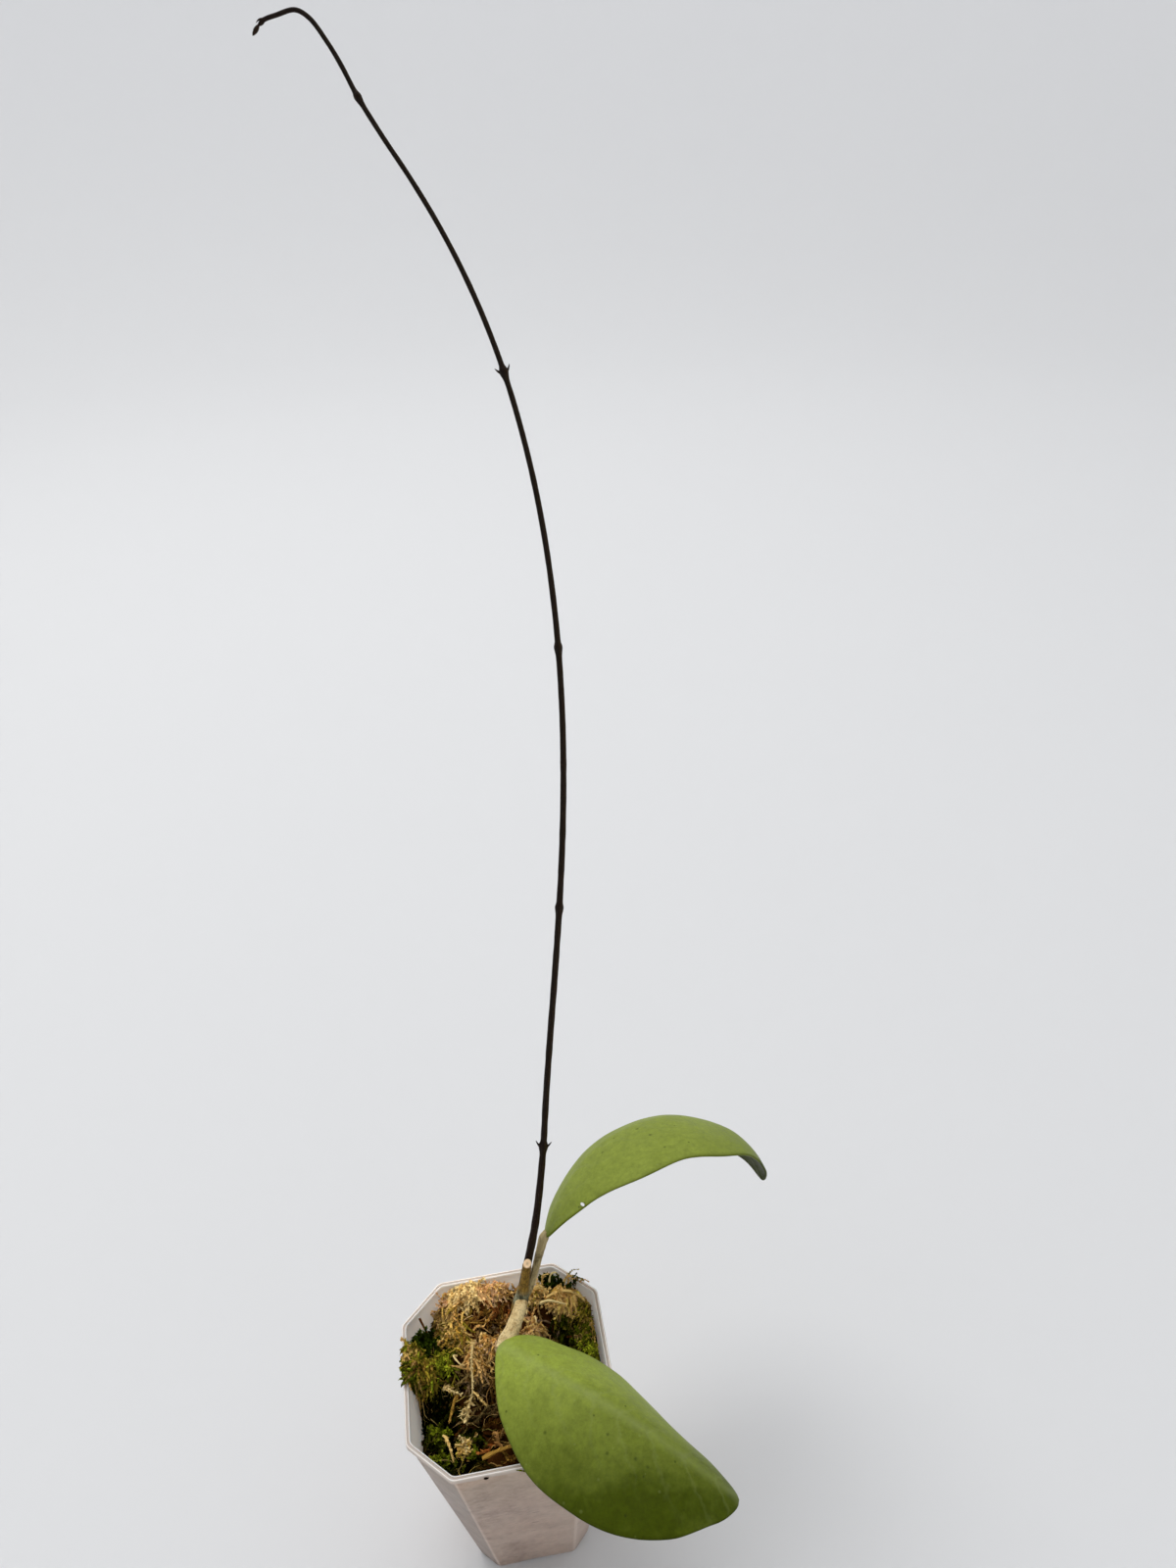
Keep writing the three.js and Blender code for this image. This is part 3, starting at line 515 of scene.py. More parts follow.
def leaf_material(name, leaf, light, deep, rises, shade_heights, marks, hook_from=NO_HOOK):
    """A thick waxy blade: pale midrib, faint side veins, cloudy greens, small dark specks, and painted shade.
    """
    finish = Finish(name, Roughness=0.46, Specular_IOR_Level=0.07)
    tree, place, surface = finish.tree, finish.place(), finish.surface()
    run, lateral, _ = surface.parts("XYZ")
    off = abs(lateral)
    on_top, margin_shade, _ = finish.tint().parts("Color")
    pale = tuple(0.8 * c + 0.10 for c in light)
    # The colour of the painted shade on the drip tip
    shade_colour = tuple(0.22 * c for c in deep)
    # Painted shade: the colour runs from light on the high crown of the blade to deep on its near, drooping
    # side
    height = node(tree, "ShaderNodeVectorMath", {0: place, 1: rises}, 1, operation="DOT_PRODUCT")
    cloudy = mottle(place, 11.0, 2.0)
    colour = mixed((spread(height, *shade_heights) + (cloudy - 0.5) * 0.4).clipped(), light, deep)
    patches, flecks = mottle(place, 2.4, 2.6), mottle(place, 0.9, 2.6)
    colour = mixed(1.0, colour, grey(patches * 0.34 + flecks * 0.26 + 0.70), "MULTIPLY")
    # Side veins leave the midrib at a slant and bend towards the tip
    phase = run - off ** 1.2 * 0.55 + mottle(place, 12.0, 1.6) * 9.0
    near = abs(calc("FRACT", phase / 9.5) - 0.5)
    vein = spread(near, 0.0, 0.12, 1.0, 0.0) * spread(off, 2.0, 15.0, 1.0, 0.0)
    rib = spread(off, 0.2, 2.4, 1.0, 0.0) * spread(cloudy, 0.2, 0.8, 0.4, 1.0)
    colour = mixed(vein * 0.13, colour, pale)
    colour = mixed(rib * 0.32, colour, pale)
    colour = mixed(specks(surface, 4.5, 0.42, 0.2) * 0.14, colour, pale)
    # Dark dots: scattered ones, and the marks that can be told apart
    dots = specks(surface, 5.5, 0.42, 0.16) * 0.6
    for u, v, radius in marks:
        half = half_width(np.array([u]), leaf["left" if v < 0 else "right"])[0]
        spot = (u * leaf["length"], float(v * half), 0)
        away = node(tree, "ShaderNodeVectorMath", {0: surface, 1: spot}, 1, operation="DISTANCE")
        dots = calc("MAXIMUM", dots, spread(away, radius * 0.2, radius * 0.85, 0.55, 0.0))
    colour = mixed(dots, colour, (0.02, 0.03, 0.004))
    # Painted shade darkens the folded side of the drip tip and the margin; the underside is duller
    folded_tip_shade = spread(run, hook_from - 1.5, hook_from + 1.5, 0.0, 0.9) * spread(lateral, 0.5, -1.5)
    colour = mixed(folded_tip_shade, colour, shade_colour)
    colour = mixed(margin_shade * 0.6, colour, tuple(0.5 * c for c in deep))
    under = mixed(0.6, colour, tuple(0.45 * a + 0.25 * b + 0.02 for a, b in zip(light, deep)))
    colour = mixed(on_top, under, colour)
    # Painted shade on the underside of the drip tip
    hook = spread(run, hook_from - 2, hook_from + 2, 0.0, 0.9) * (1.0 - on_top)
    finish.feed("Base Color", mixed(hook, colour, shade_colour))
    finish.feed("Roughness", spread(patches, 0.0, 1.0, 0.38, 0.54))
    finish.bump(flecks * 0.4 - vein * 0.25, 0.35, 0.0003)
    return finish.material


def moss_material(name, shade):
    """Moss strands take their colour from the tint of each strand."""
    finish = Finish(name, Roughness=0.9, Specular_IOR_Level=0.0)
    fine = mottle(finish.place(), 0.6, 1.8)
    finish.feed("Base Color", mixed(spread(fine, 0.3, 1.0, 0.0, 0.35), finish.tint(), shade, "MULTIPLY"))
    finish.bump(fine, 0.4, 0.0002)
    return finish.material


def pot_material():
    """Thin frosted plastic: milky, lit through, with fine scuffs and the moss dim behind it, plus painted
    light and shade.
    """
    finish = Finish("frosted_plastic", Roughness=0.36, Specular_IOR_Level=0.35, Subsurface_Weight=0.9,
                    Subsurface_Radius=(1.0, 0.85, 0.76), Subsurface_Scale=0.003)
    place = finish.place()
    shade_tone, moss_behind, corner_highlight = finish.tint().parts("Color")
    x, y, z = place.parts("XYZ")
    soft = mottle(place, 16.0, 3.0)
    grain = mottle(place.scaled((0.85, 0.85, 1.15)), 1.3, 3.0)
    cloudy = mottle(place.scaled((1.0, 1.0, 1.4)), 8.0, 4.5)
    dim = mixed(soft, (0.20, 0.12, 0.082), (0.42, 0.28, 0.21))
    dim = mixed(cloudy * 0.5, dim, (0.66, 0.51, 0.42))
    # Painted light: the wall grows lighter towards the right
    dim = mixed(spread(x, -4.0, 15.0, 0.0, 0.4), dim, (0.66, 0.50, 0.40))
    # Painted shade: the wall grows darker towards the bottom
    dim = mixed(spread(z, 22.0, 1.0, 0.0, 0.35), dim, (0.22, 0.14, 0.10))
    dim = mixed(spread(z, 48.0, 74.0, 0.0, 0.5), dim, (0.36, 0.27, 0.165))
    dim = mixed(grain * 0.34, dim, (0.70, 0.57, 0.48))
    flat = node(finish.tree, "ShaderNodeCombineXYZ", {0: (x + y * 0.7) * 0.3, 1: z})
    dashes = calc("MAXIMUM", specks(flat, 4.2, 0.4, 0.10), specks(flat, 1.3, 0.16, 0.05))
    dim = mixed(dashes * 0.5, dim, (0.14, 0.075, 0.05))
    # Painted highlight lines down the cut corners
    dim = mixed(corner_highlight * 0.22, dim, (0.86, 0.73, 0.64))
    colour = mixed(moss_behind, (0.97, 0.86, 0.78), dim)
    finish.feed("Base Color", mixed(1.0, colour, grey(shade_tone), "MULTIPLY"))
    finish.feed("Roughness", spread(grain, 0.0, 1.0, 0.30, 0.44))
    finish.bump(grain, 0.10, 0.0001)
    return finish.material


def bark_material(name, colours, streak, speck_share, roughness, shine=0.2):
    """Stem skin: lengthwise streaks of two colours over a third, with fine dark specks."""
    finish = Finish(name, Roughness=roughness, Specular_IOR_Level=shine)
    place, surface = finish.place(), finish.surface()
    along = {0: place.scaled((0.25, 0.25, 0.25)), 1: surface.scaled((streak, 0.3, 0))}
    lengthwise = node(finish.tree, "ShaderNodeVectorMath", along, operation="ADD")
    grain = mottle(lengthwise, 1.0, 2.4)
    colour = mixed(grain, colours[0], colours[1])
    colour = mixed(spread(mottle(place, 2.6, 2.6), 0.45, 0.8), colour, colours[2])
    dots = specks(surface.scaled((1.0, 0.6, 1.0)), 0.5, 0.13, speck_share)
    colour = mixed(dots * 0.5, colour, (0.06, 0.04, 0.022))
    finish.feed("Base Color", mixed(1.0, colour, finish.tint(), "MULTIPLY"))
    finish.bump(grain - dots, 0.55, 0.00025)
    return finish.material


# The pot

def cut_square(width, cut, z):
    """Points round a square with cut corners, each corner of the outline slightly rounded."""
    half = width / 2
    inner = half - cut
    corners = np.array([(half, -inner), (half, inner), (inner, half), (-inner, half), (-half, inner),
                        (-half, -inner), (-inner, -half), (inner, -half)])
    rounding = min(CORNER_ROUND, 0.3 * cut)
    ring = []
    for k, corner in enumerate(corners):
        before, after = corners[k - 1], corners[(k + 1) % 8]
        start = corner + (before - corner) / np.linalg.norm(before - corner) * rounding
        end = corner + (after - corner) / np.linalg.norm(after - corner) * rounding
        for t in np.linspace(0, 1, CORNER_STEPS):
            x, y = (1 - t) ** 2 * start + 2 * t * (1 - t) * corner + t ** 2 * end
            ring.append((x, y, z))
    return ring


def wall_size(z):
    t = z / (POT_HEIGHT - LIP)
    return blend(BASE_WIDTH, WALL_TOP_WIDTH, t), blend(BASE_CUT, WALL_TOP_CUT, t)


def wall_ring(z, inward):
    width, cut = wall_size(z)
    return cut_square(width - 2 * inward, cut - (2 - math.sqrt(2)) * inward, z)


def rim_ring(z, inward):
    return cut_square(RIM_WIDTH - 2 * inward, RIM_CUT - (2 - math.sqrt(2)) * inward, z)


def pot_rings():
    """The pot's outline, from under its floor up the outside, over the rim and down the inside."""
    lip_bottom = POT_HEIGHT - LIP
    rings = [wall_ring(z, inward) for z, inward in FOOT_PROFILE]
    rings += [wall_ring(z, 0) for z in OUTER_HEIGHTS]
    rings += [rim_ring(OUTER_HEIGHTS[-1], 0.5)]
    rings += [rim_ring(lip_bottom + rise, inward) for rise, inward in LIP_PROFILE]
    rings += [rim_ring(POT_HEIGHT + rise, inward) for rise, inward in FLANGE_PROFILE]
    rings += [wall_ring(z, WALL) for z in INNER_HEIGHTS]
    return rings + [wall_ring(z, inward) for z, inward in INNER_FLOOR]


def pot_tints(rings, sides):
    """Painted shade as a multiplier in red, how much moss shows through in green, and painted highlight lines
    on the cut corners in blue.
    """
    # Painted shade dulls the lip and the flange, the groove between its two beads too, while the beads stay
    # bright as painted highlight lines
    shade_tone = np.ones((rings, sides))
    shade_tone[RIM], shade_tone[OUTER_BEAD], shade_tone[INNER_BEAD] = 0.66, 1.0, 1.0
    # Painted shade darkens the cut corner at the front left
    shade_tone[OUTSIDE, 5 * CORNER_STEPS + 4:6 * CORNER_STEPS + 3] = 0.6
    behind = np.zeros(rings)
    behind[OUTSIDE], behind[UNDER_LIP], behind[LIP_FACE], behind[FLANGE] = 1.0, 0.9, 0.55, 0.28
    behind[OUTER_BEAD], behind[INNER_BEAD] = 0.0, 0.0
    corner = np.isin(np.arange(sides) % CORNER_STEPS, (2, 3, 4)).astype(float)
    return np.stack(np.broadcast_arrays(shade_tone, behind[:, None], corner[None]), axis=-1).reshape(-1, 3)


def make_pot():
    rings = pot_rings()
    sides = len(rings[0])
    quads, fans = ring_faces(len(rings), sides)
    middles = [(0, 0, FLOOR_UNDERSIDE), (0, 0, FLOOR_TOP)]
    shape = Shape()
    shape.add(np.vstack([np.array(rings).reshape(-1, 3), middles]), quads,
              np.vstack([pot_tints(len(rings), sides), [(1, 1, 0), (1, 0, 0)]]))
    shape.faces.append(fans)
    piece = put_mesh("pot_shell", shape, pot_material(), smooth_below=0)
    cutters = []
    for k in range(DRAIN_COUNT):
        angle = (k + 0.5) / DRAIN_COUNT * 2 * math.pi
        centre = (DRAIN_REACH * math.cos(angle), DRAIN_REACH * math.sin(angle), FLOOR_TOP)
        cutters.append(peg("drain_cutter", DRAIN_RADIUS, 6.0, centre))
    # Each notch cutter reaches through the foot on two opposite sides
    x, y, z = NOTCH_WIDTH / 2, BASE_WIDTH / 2 + 2, NOTCH_HEIGHT
    for x, y in ((x, y), (y, x)):
        shape = Shape()
        box = [(sx * x, sy * y, sz * z) for sz in (-1, 1) for sx, sy in ((-1, -1), (1, -1), (1, 1), (-1, 1))]
        shape.add(box, [(3, 2, 1, 0), (4, 5, 6, 7), (0, 1, 5, 4), (1, 2, 6, 5), (2, 3, 7, 6), (3, 0, 4, 7)])
        cutters.append(put_mesh("notch_cutter", shape, None, smooth_below=0))
    cut_away(piece, cutters)
    piece.data.set_sharp_from_angle(angle=math.radians(32))
    dress(piece, "pot_plastic", "pot")


# The leaves

def half_width(u, widths):
    """Half the blade's width at a share of its length, on a smooth curve through its list."""
    stations, widths = np.array(WIDTH_STATIONS), np.array(widths, float)
    slopes = np.empty(len(stations))
    slopes[1:-1] = (widths[2:] - widths[:-2]) / (stations[2:] - stations[:-2])
    slopes[0] = (widths[1] - widths[0]) / (stations[1] - stations[0])
    slopes[-1] = (widths[-1] - widths[-2]) / (stations[-1] - stations[-2])
    k = np.clip(np.searchsorted(stations, u, side="right") - 1, 0, len(stations) - 2)
    span = stations[k + 1] - stations[k]
    t = (u - stations[k]) / span
    h = 3 * t ** 2 - 2 * t ** 3
    width = ((1 - h) * widths[k] + (t ** 3 - 2 * t ** 2 + t) * span * slopes[k]
             + h * widths[k + 1] + (t ** 3 - t ** 2) * span * slopes[k + 1])
    at_base = np.sqrt(1 - np.clip(1 - u / BASE_ROUND, 0, 1) ** 2)
    at_tip = np.sqrt(1 - np.clip((u - 1 + TIP_ROUND) / TIP_ROUND, 0, 1) ** 2)
    return np.clip(width, 0, None) * at_base * at_tip


def rotation(turn):
    x, y, z = (math.radians(v) for v in turn)
    return np.array(Matrix.Rotation(z, 3, "Z") @ Matrix.Rotation(y, 3, "Y") @ Matrix.Rotation(x, 3, "X"))


def blade(leaf, u, v):
    """Points and upward normals of the blade's middle surface, and the distance from the midrib."""
    steps = 400
    fine = np.linspace(0, 1, steps + 1)
    curl = leaf["tip_curl"] * np.clip((fine - CURL_START) / (1 - CURL_START), 0, 1) ** 1.5
    pitch = -np.radians(leaf["arch"] * (fine - 0.5) + curl)
    yaw = np.radians(leaf["side"] * (fine - 0.5))
    along = np.column_stack([np.cos(pitch) * np.cos(yaw), np.cos(pitch) * np.sin(yaw), np.sin(pitch)])
    rib = np.cumsum((along[1:] + along[:-1]) / 2 * leaf["length"] / steps, axis=0)
    rib_at = between(u, fine, np.vstack([np.zeros(3), rib]))
    yaw_at = np.radians(leaf["side"] * (u - 0.5))
    flat_side = np.stack([-np.sin(yaw_at), np.cos(yaw_at), np.zeros_like(u)], axis=-1)
    flat_up = np.cross(between(u, fine, along), flat_side)
    twist = np.radians(leaf["twist"] * (u - 0.5))[..., None]
    side = flat_side * np.cos(twist) + flat_up * np.sin(twist)
    up = flat_up * np.cos(twist) - flat_side * np.sin(twist)
    half = np.where(v < 0, half_width(u, leaf["left"]), half_width(u, leaf["right"]))
    reach = np.abs(v) * half
    # The slope across the blade grows from nothing at the midrib, so there is no sharp crease
    r = np.linspace(0, 32, 641)
    fold, droop = math.radians(leaf["fold"]), math.radians(leaf["droop"])
    slopes = fold * (1 - np.exp(-r / FOLD_EASE)) + droop / DROOP_SPAN * r
    out, down = (np.interp(reach, r, np.concatenate([[0], np.cumsum(part(slopes[1:]) * (r[1] - r[0]))]))
                 for part in (np.cos, np.sin))
    down = down + math.sin(fold) * FOLD_EASE * 0.85
    sign = np.sign(v)
    points = rib_at + side * (sign * out)[..., None] - up * down[..., None]
    tilt = (sign * np.interp(reach, r, slopes))[..., None]
    return points, up * np.cos(tilt) + side * np.sin(tilt), sign * reach, half


def there_and_back(over, under):
    """Rows of the upper side that go on along the lower side, back to the first column."""
    return np.concatenate([over, under[:, -2:0:-1]], axis=1)


def make_leaf(name, leaf, cad_node, material, wave_seed, holes=()):
    """A thick closed blade with a rounded margin, a sunken midrib above and a raised one below."""
    ends = np.concatenate([[0.003, 0.008, 0.016, 0.028, 0.042], np.linspace(0.06, 0.93, 88),
                           [0.945, 0.958, 0.968, 0.977, 0.984, 0.99, 0.995, 0.999]])
    middle = np.linspace(0, 1, 25) ** 0.9
    margin = np.array([0.6, 0.32, 0.12, 0.0])
    half_smaller = np.minimum(half_width(ends, leaf["left"]), half_width(ends, leaf["right"]))
    edge = (np.minimum(0.5, 0.3 * half_smaller) / half_smaller)[:, None]
    positive = np.hstack([(1 - edge) * middle, 1 - edge * margin])
    v = np.hstack([-positive[:, :0:-1], positive])
    u = np.repeat(ends[:, None], v.shape[1], axis=1)
    points, normals, lateral, half = blade(leaf, u, v)
    off = np.abs(lateral)
    to_edge = np.clip((1 - np.abs(v)) * half, 0, None)
    to_end = np.minimum(u, 1 - u) * leaf["length"]
    rounded = np.sqrt(1 - (1 - np.clip(to_edge / 0.5, 0, 1)) ** 2)
    rounded = rounded * np.sqrt(1 - (1 - np.clip(to_end / 0.9 + 0.02, 0, 1)) ** 2)
    lift = blend(BLADE_MIDDLE, BLADE_MARGIN, np.abs(v) ** 0.8) * rounded
    waves = 0.16 * ripples(points, 21, wave_seed) + 0.05 * ripples(points, 8, wave_seed + 1)
    quiet = np.clip(to_end / 8, 0, 1)
    # The drip tip folds up from a slanting line near the end
    beyond = (u - leaf["tip_fold"] - 0.056 * (v + 0.26)) * leaf["length"]
    waves = waves + 0.05 * np.clip(beyond, 0, None) ** 2
    groove = bell(off, 0.8) * quiet
    keel = 0.5 * bell(off, 1.1) * quiet * (1 - u)
    top = points + normals * (waves * quiet + lift - 0.22 * groove)[..., None]
    under = points + normals * (waves * quiet - lift - keel)[..., None]
    rings = there_and_back(top, under)
    surface = np.stack([u * leaf["length"], lateral], axis=-1)
    surface = there_and_back(surface, surface)
    # Tints hold the side in red, and in green how near the margin is, which the material darkens with painted
    # shade
    margin_near = np.clip(1 - to_edge / 0.9, 0, 1)
    tints = np.stack([np.ones_like(off), margin_near, np.zeros_like(off)], axis=-1)
    tints = there_and_back(tints, tints * (0, 1, 0)).reshape(-1, 3)
    quads, fans = ring_faces(*rings.shape[:2])
    shape = Shape()
    shape.add(np.vstack([rings.reshape(-1, 3), rings[[0, -1]].mean(axis=1)]), quads[:, ::-1],
              np.vstack([tints, tints[:2]]), np.vstack([surface.reshape(-1, 2), surface[[0, -1], 0]]))
    shape.faces.append(fans[:, ::-1])
    turn = rotation(leaf["turn"])
    shape.points = [block @ turn.T + leaf["base"] for block in shape.points]
    piece = put_mesh(name, shape, material, smooth_below=0)
    if holes:
        cut_away(piece, [peg("hole_cutter", radius, 8, centre, direction, 14)
                         for centre, direction, radius in holes])
        piece.data.set_sharp_from_angle(angle=math.radians(60))
    dress(piece, "leaf", cad_node)


# The stems

# Rings of the cut face, from its rim in to its pith: share of its width, height, tint
CUT_FACE_RINGS = ((0.96, -0.5, 0.5), (1.0, 0.10, 0.55), (0.95, 0.22, 0.75), (0.80, 0.24, 1.0),
                  (0.45, 0.19, 0.95), (0.16, 0.16, 0.62))


def make_stem(name, skin, slot, cad_node, path, radii, sides, roughness, seed, tints=(1, 1, 1)):
    """A bar of the plant whose skin is slightly uneven."""
    angles = around(sides)
    flat = np.stack([np.cos(angles), np.sin(angles), np.zeros(sides)], axis=-1)
    start = path[:, None] + flat * radii[:, None, None]
    uneven = ripples(start, 2.4, seed) * 0.6 + ripples(start, 0.9, seed + 1) * 0.4
    shape = Shape()
    tube(shape, path, radii[:, None] * (1 + roughness * uneven), sides, tints)
    dress(put_mesh(name, shape, skin), slot, cad_node)


def make_old_stem():
    path = smooth_path(OLD_STEM_PATH, 90)
    t = np.linspace(0, 1, 90)
    body = blend(OLD_STEM_RADIUS, STUB_RADIUS, smoothstep((t - NODE_AT) / 0.05 + 0.5))
    swelling = NODE_SWELL * bell(t - NODE_AT, 0.055)
    # Small leaf scars make the node wider at two heights
    scars = 0.22 * bell(t - NODE_AT - 0.05, 0.012) + 0.18 * bell(t - NODE_AT + 0.055, 0.012)
    waxy = np.exp(-((t - NODE_AT - 0.02) / 0.035) ** 4)[:, None]
    tints = blend(np.array([0.66, 0.47, 0.14]), np.array([0.62, 0.76, 0.88]), waxy)
    low = smoothstep((0.62 - t) / 0.12)[:, None]
    tints = blend(tints, np.array([0.85, 0.66, 0.45]), low)
    colours = ((0.20, 0.13, 0.05), (0.56, 0.48, 0.27), (0.06, 0.05, 0.02))
    make_stem("old_stem_bark", bark_material("old_bark", colours, 3.0, 0.4, 0.6), "old_stem", "old_stem",
              path, body + swelling + scars, 28, 0.05, 31, tints)
    make_cut_face(path)


def make_cut_face(path):
    """The cut face at the top of the stub: a thin pale disc with a darker pith, tilted to the front."""
    along, across, over = frames_along(path)
    facing = np.array((-0.25, -0.75, 0.45))
    centre, axis = path[-1], along[-1]
    sides = 32
    out = outward(across[-1], over[-1], around(sides))
    rings, tints = [], []
    for share, height, tint in CUT_FACE_RINGS:
        ring = centre + out * (STUB_RADIUS * 0.88 * share) + axis * height
        ring = ring + axis * ((out @ facing) * -0.55 * STUB_RADIUS * share + 0.45)[:, None]
        rings.append(ring)
        tints.append(np.full((sides, 3), tint))
    quads, fans = ring_faces(len(rings), sides)
    face = Shape()
    points = np.vstack(rings + [centre - axis * 0.3, centre + axis * 0.6])
    face.add(points, quads, np.vstack(tints + [np.full((1, 3), 0.5), np.full((1, 3), 0.55)]))
    face.faces.append(fans)
    colours = ((0.72, 0.48, 0.26), (0.90, 0.70, 0.46), (0.58, 0.36, 0.18))
    dress(put_mesh("stub_cut_face", face, bark_material("cut_wood", colours, 0.5, 0.2, 0.75)), "old_stem")


def make_stalks():
    stations = 60
    t = np.linspace(0, 1, stations)
    colours = ((0.60, 0.44, 0.20), (0.82, 0.65, 0.34), (0.42, 0.28, 0.11))
    radii = blend(1.7, 2.3, np.clip(t * 1.3, 0, 1) ** 1.5) - 0.7 * smoothstep((t - 0.75) / 0.25)
    make_stem("front_stalk_cork", bark_material("corky_skin", colours, 1.2, 0.8, 0.75), "leaf_stalk",
              "front_leaf_stalk", smooth_path(FRONT_STALK_PATH, stations), radii, 32, 0.06, 41)
    colours = ((0.34, 0.25, 0.11), (0.58, 0.46, 0.24), (0.20, 0.15, 0.065))
    radii = blend(0.95, 1.45, t ** 2) - 0.5 * smoothstep((t - 0.9) / 0.1)
    make_stem("back_stalk_skin", bark_material("stalk_skin", colours, 1.6, 0.2, 0.55), "leaf_stalk",
              "back_leaf_stalk", smooth_path(BACK_STALK_PATH, stations), radii, 28, 0.05, 43)


def make_runner():
    """The dark leafless shoot: five nodes with scale pairs, thinning to a hooked tip."""
    count, sides = 900, 14
    path = smooth_path(RUNNER_PATH, count)
    along, across, over = frames_along(path)
    t = np.linspace(0, 1, count)
    node_at = [int(np.argmin(np.abs(path[:count - 60, 2] - z))) for z, _, _, _ in RUNNER_NODES]
    first = t[node_at[0]]
    low = blend(RUNNER_START, RUNNER_AFTER_NODE, np.clip(t / first, 0, 1))
    high = blend(RUNNER_AFTER_NODE, RUNNER_END, np.clip((t - first) / (1 - first), 0, 1) ** 1.25)
    radii = np.where(t < first, low, high)
    run = run_along(path)
    for k, (_, swell, _, _) in zip(node_at, RUNNER_NODES):
        away = run - run[k]
        radii = radii + swell * bell(away, np.where(away < 0, 1.5, 0.9))
    radii = blend(1.2, 1.42, t) * radii * (1 - 0.5 * smoothstep((t - 0.995) / 0.005))
    out = outward(across, over, around(sides))
    # Painted highlight: the side facing right, a little to the front and up, is lighter olive
    lit_side = smoothstep(out @ np.array((0.93, -0.30, 0.2)) * 0.9 + 0.1)[..., None]
    dark = blend(np.array((0.9, 0.62, 0.5)), np.array((0.62, 0.5, 0.42)), smoothstep(t * 5)[:, None])[:, None]
    young = smoothstep((t - 0.82) / 0.18)[:, None, None]
    olive = blend(np.array((1.9, 1.75, 0.95)), np.array((1.5, 1.25, 0.8)), young)
    tints = blend(dark, olive, 0.8 * lit_side)
    shape = Shape()
    tube(shape, path, radii * (1 + 0.03 * ripples(path * (1, 1, 0.6), 3.0, 51)), sides)
    shape.tints[-1] = np.vstack([tints.reshape(-1, 3), tints[0, :1], tints[-1, :1]])
    s = np.linspace(0, 1, 9)
    for k, (_, _, length, first_way) in zip(node_at, RUNNER_NODES):
        first_way = np.array(first_way) - along[k] * (np.array(first_way) @ along[k])
        first_way /= np.linalg.norm(first_way)
        for way in (first_way, -first_way):
            root = path[k] + way * radii[k] * 0.35 - along[k] * 0.35
            bract = root + way * length * 0.75 * s[:, None] ** 0.9
            bract = bract + along[k] * length * (0.25 * s[:, None] + 0.5 * s[:, None] ** 2)
            tube(shape, bract, 0.46 * (1 - 0.86 * s ** 1.3), 10, (0.95, 0.75, 0.5))
    # A small closed bud at the tip of the hook, between two scales
    bud = path[-1] + np.outer(np.linspace(-0.4, 2.0, 10), along[-1] + np.array((0, 0, -0.15)))
    tube(shape, bud, 0.52 * np.sin(np.linspace(0.35, math.pi, 10)) ** 0.8 + 0.03, 12, (1.3, 1.0, 0.6))
    s = np.linspace(0, 1, 7)
    for way in (1, -1):
        scale = path[-6] + across[-6] * way * (0.3 + 0.25 * np.sin(s * math.pi))[:, None]
        tube(shape, scale + np.outer(s * 1.7, along[-6]), 0.26 * (1 - 0.8 * s ** 1.5), 8, (1.2, 0.95, 0.6))
    colours = ((0.009, 0.005, 0.0035), (0.022, 0.014, 0.008), (0.014, 0.007, 0.004))
    bark = bark_material("runner_bark", colours, 2.2, 0.1, 0.5, 0.1)
    dress(put_mesh("runner_vine", shape, bark), "runner", "runner")


# The moss

# Points along a strand, how deep its root is, and how high strands may reach in the strip at the front
STRAND_STATIONS, ROOT_DEPTH = 9, 2.6
FRONT_STRIP, LOW_TOP = -13, 76.2

# Heaps whose first tint is one of these are bright all through, with no painted shade low in the heap or in
# the hollows
BRIGHT = ("cream", "pink", "straw")
ZONE_TINTS = {
    "tan": ("tan", "tan", "straw", "pink", "golden", "olive"),
    "left": ("olive", "leafy", "olive", "dark", "golden", "leafy", "tan"),
    "right": ("olive", "leafy", "tan", "dark", "deep", "golden"),
}

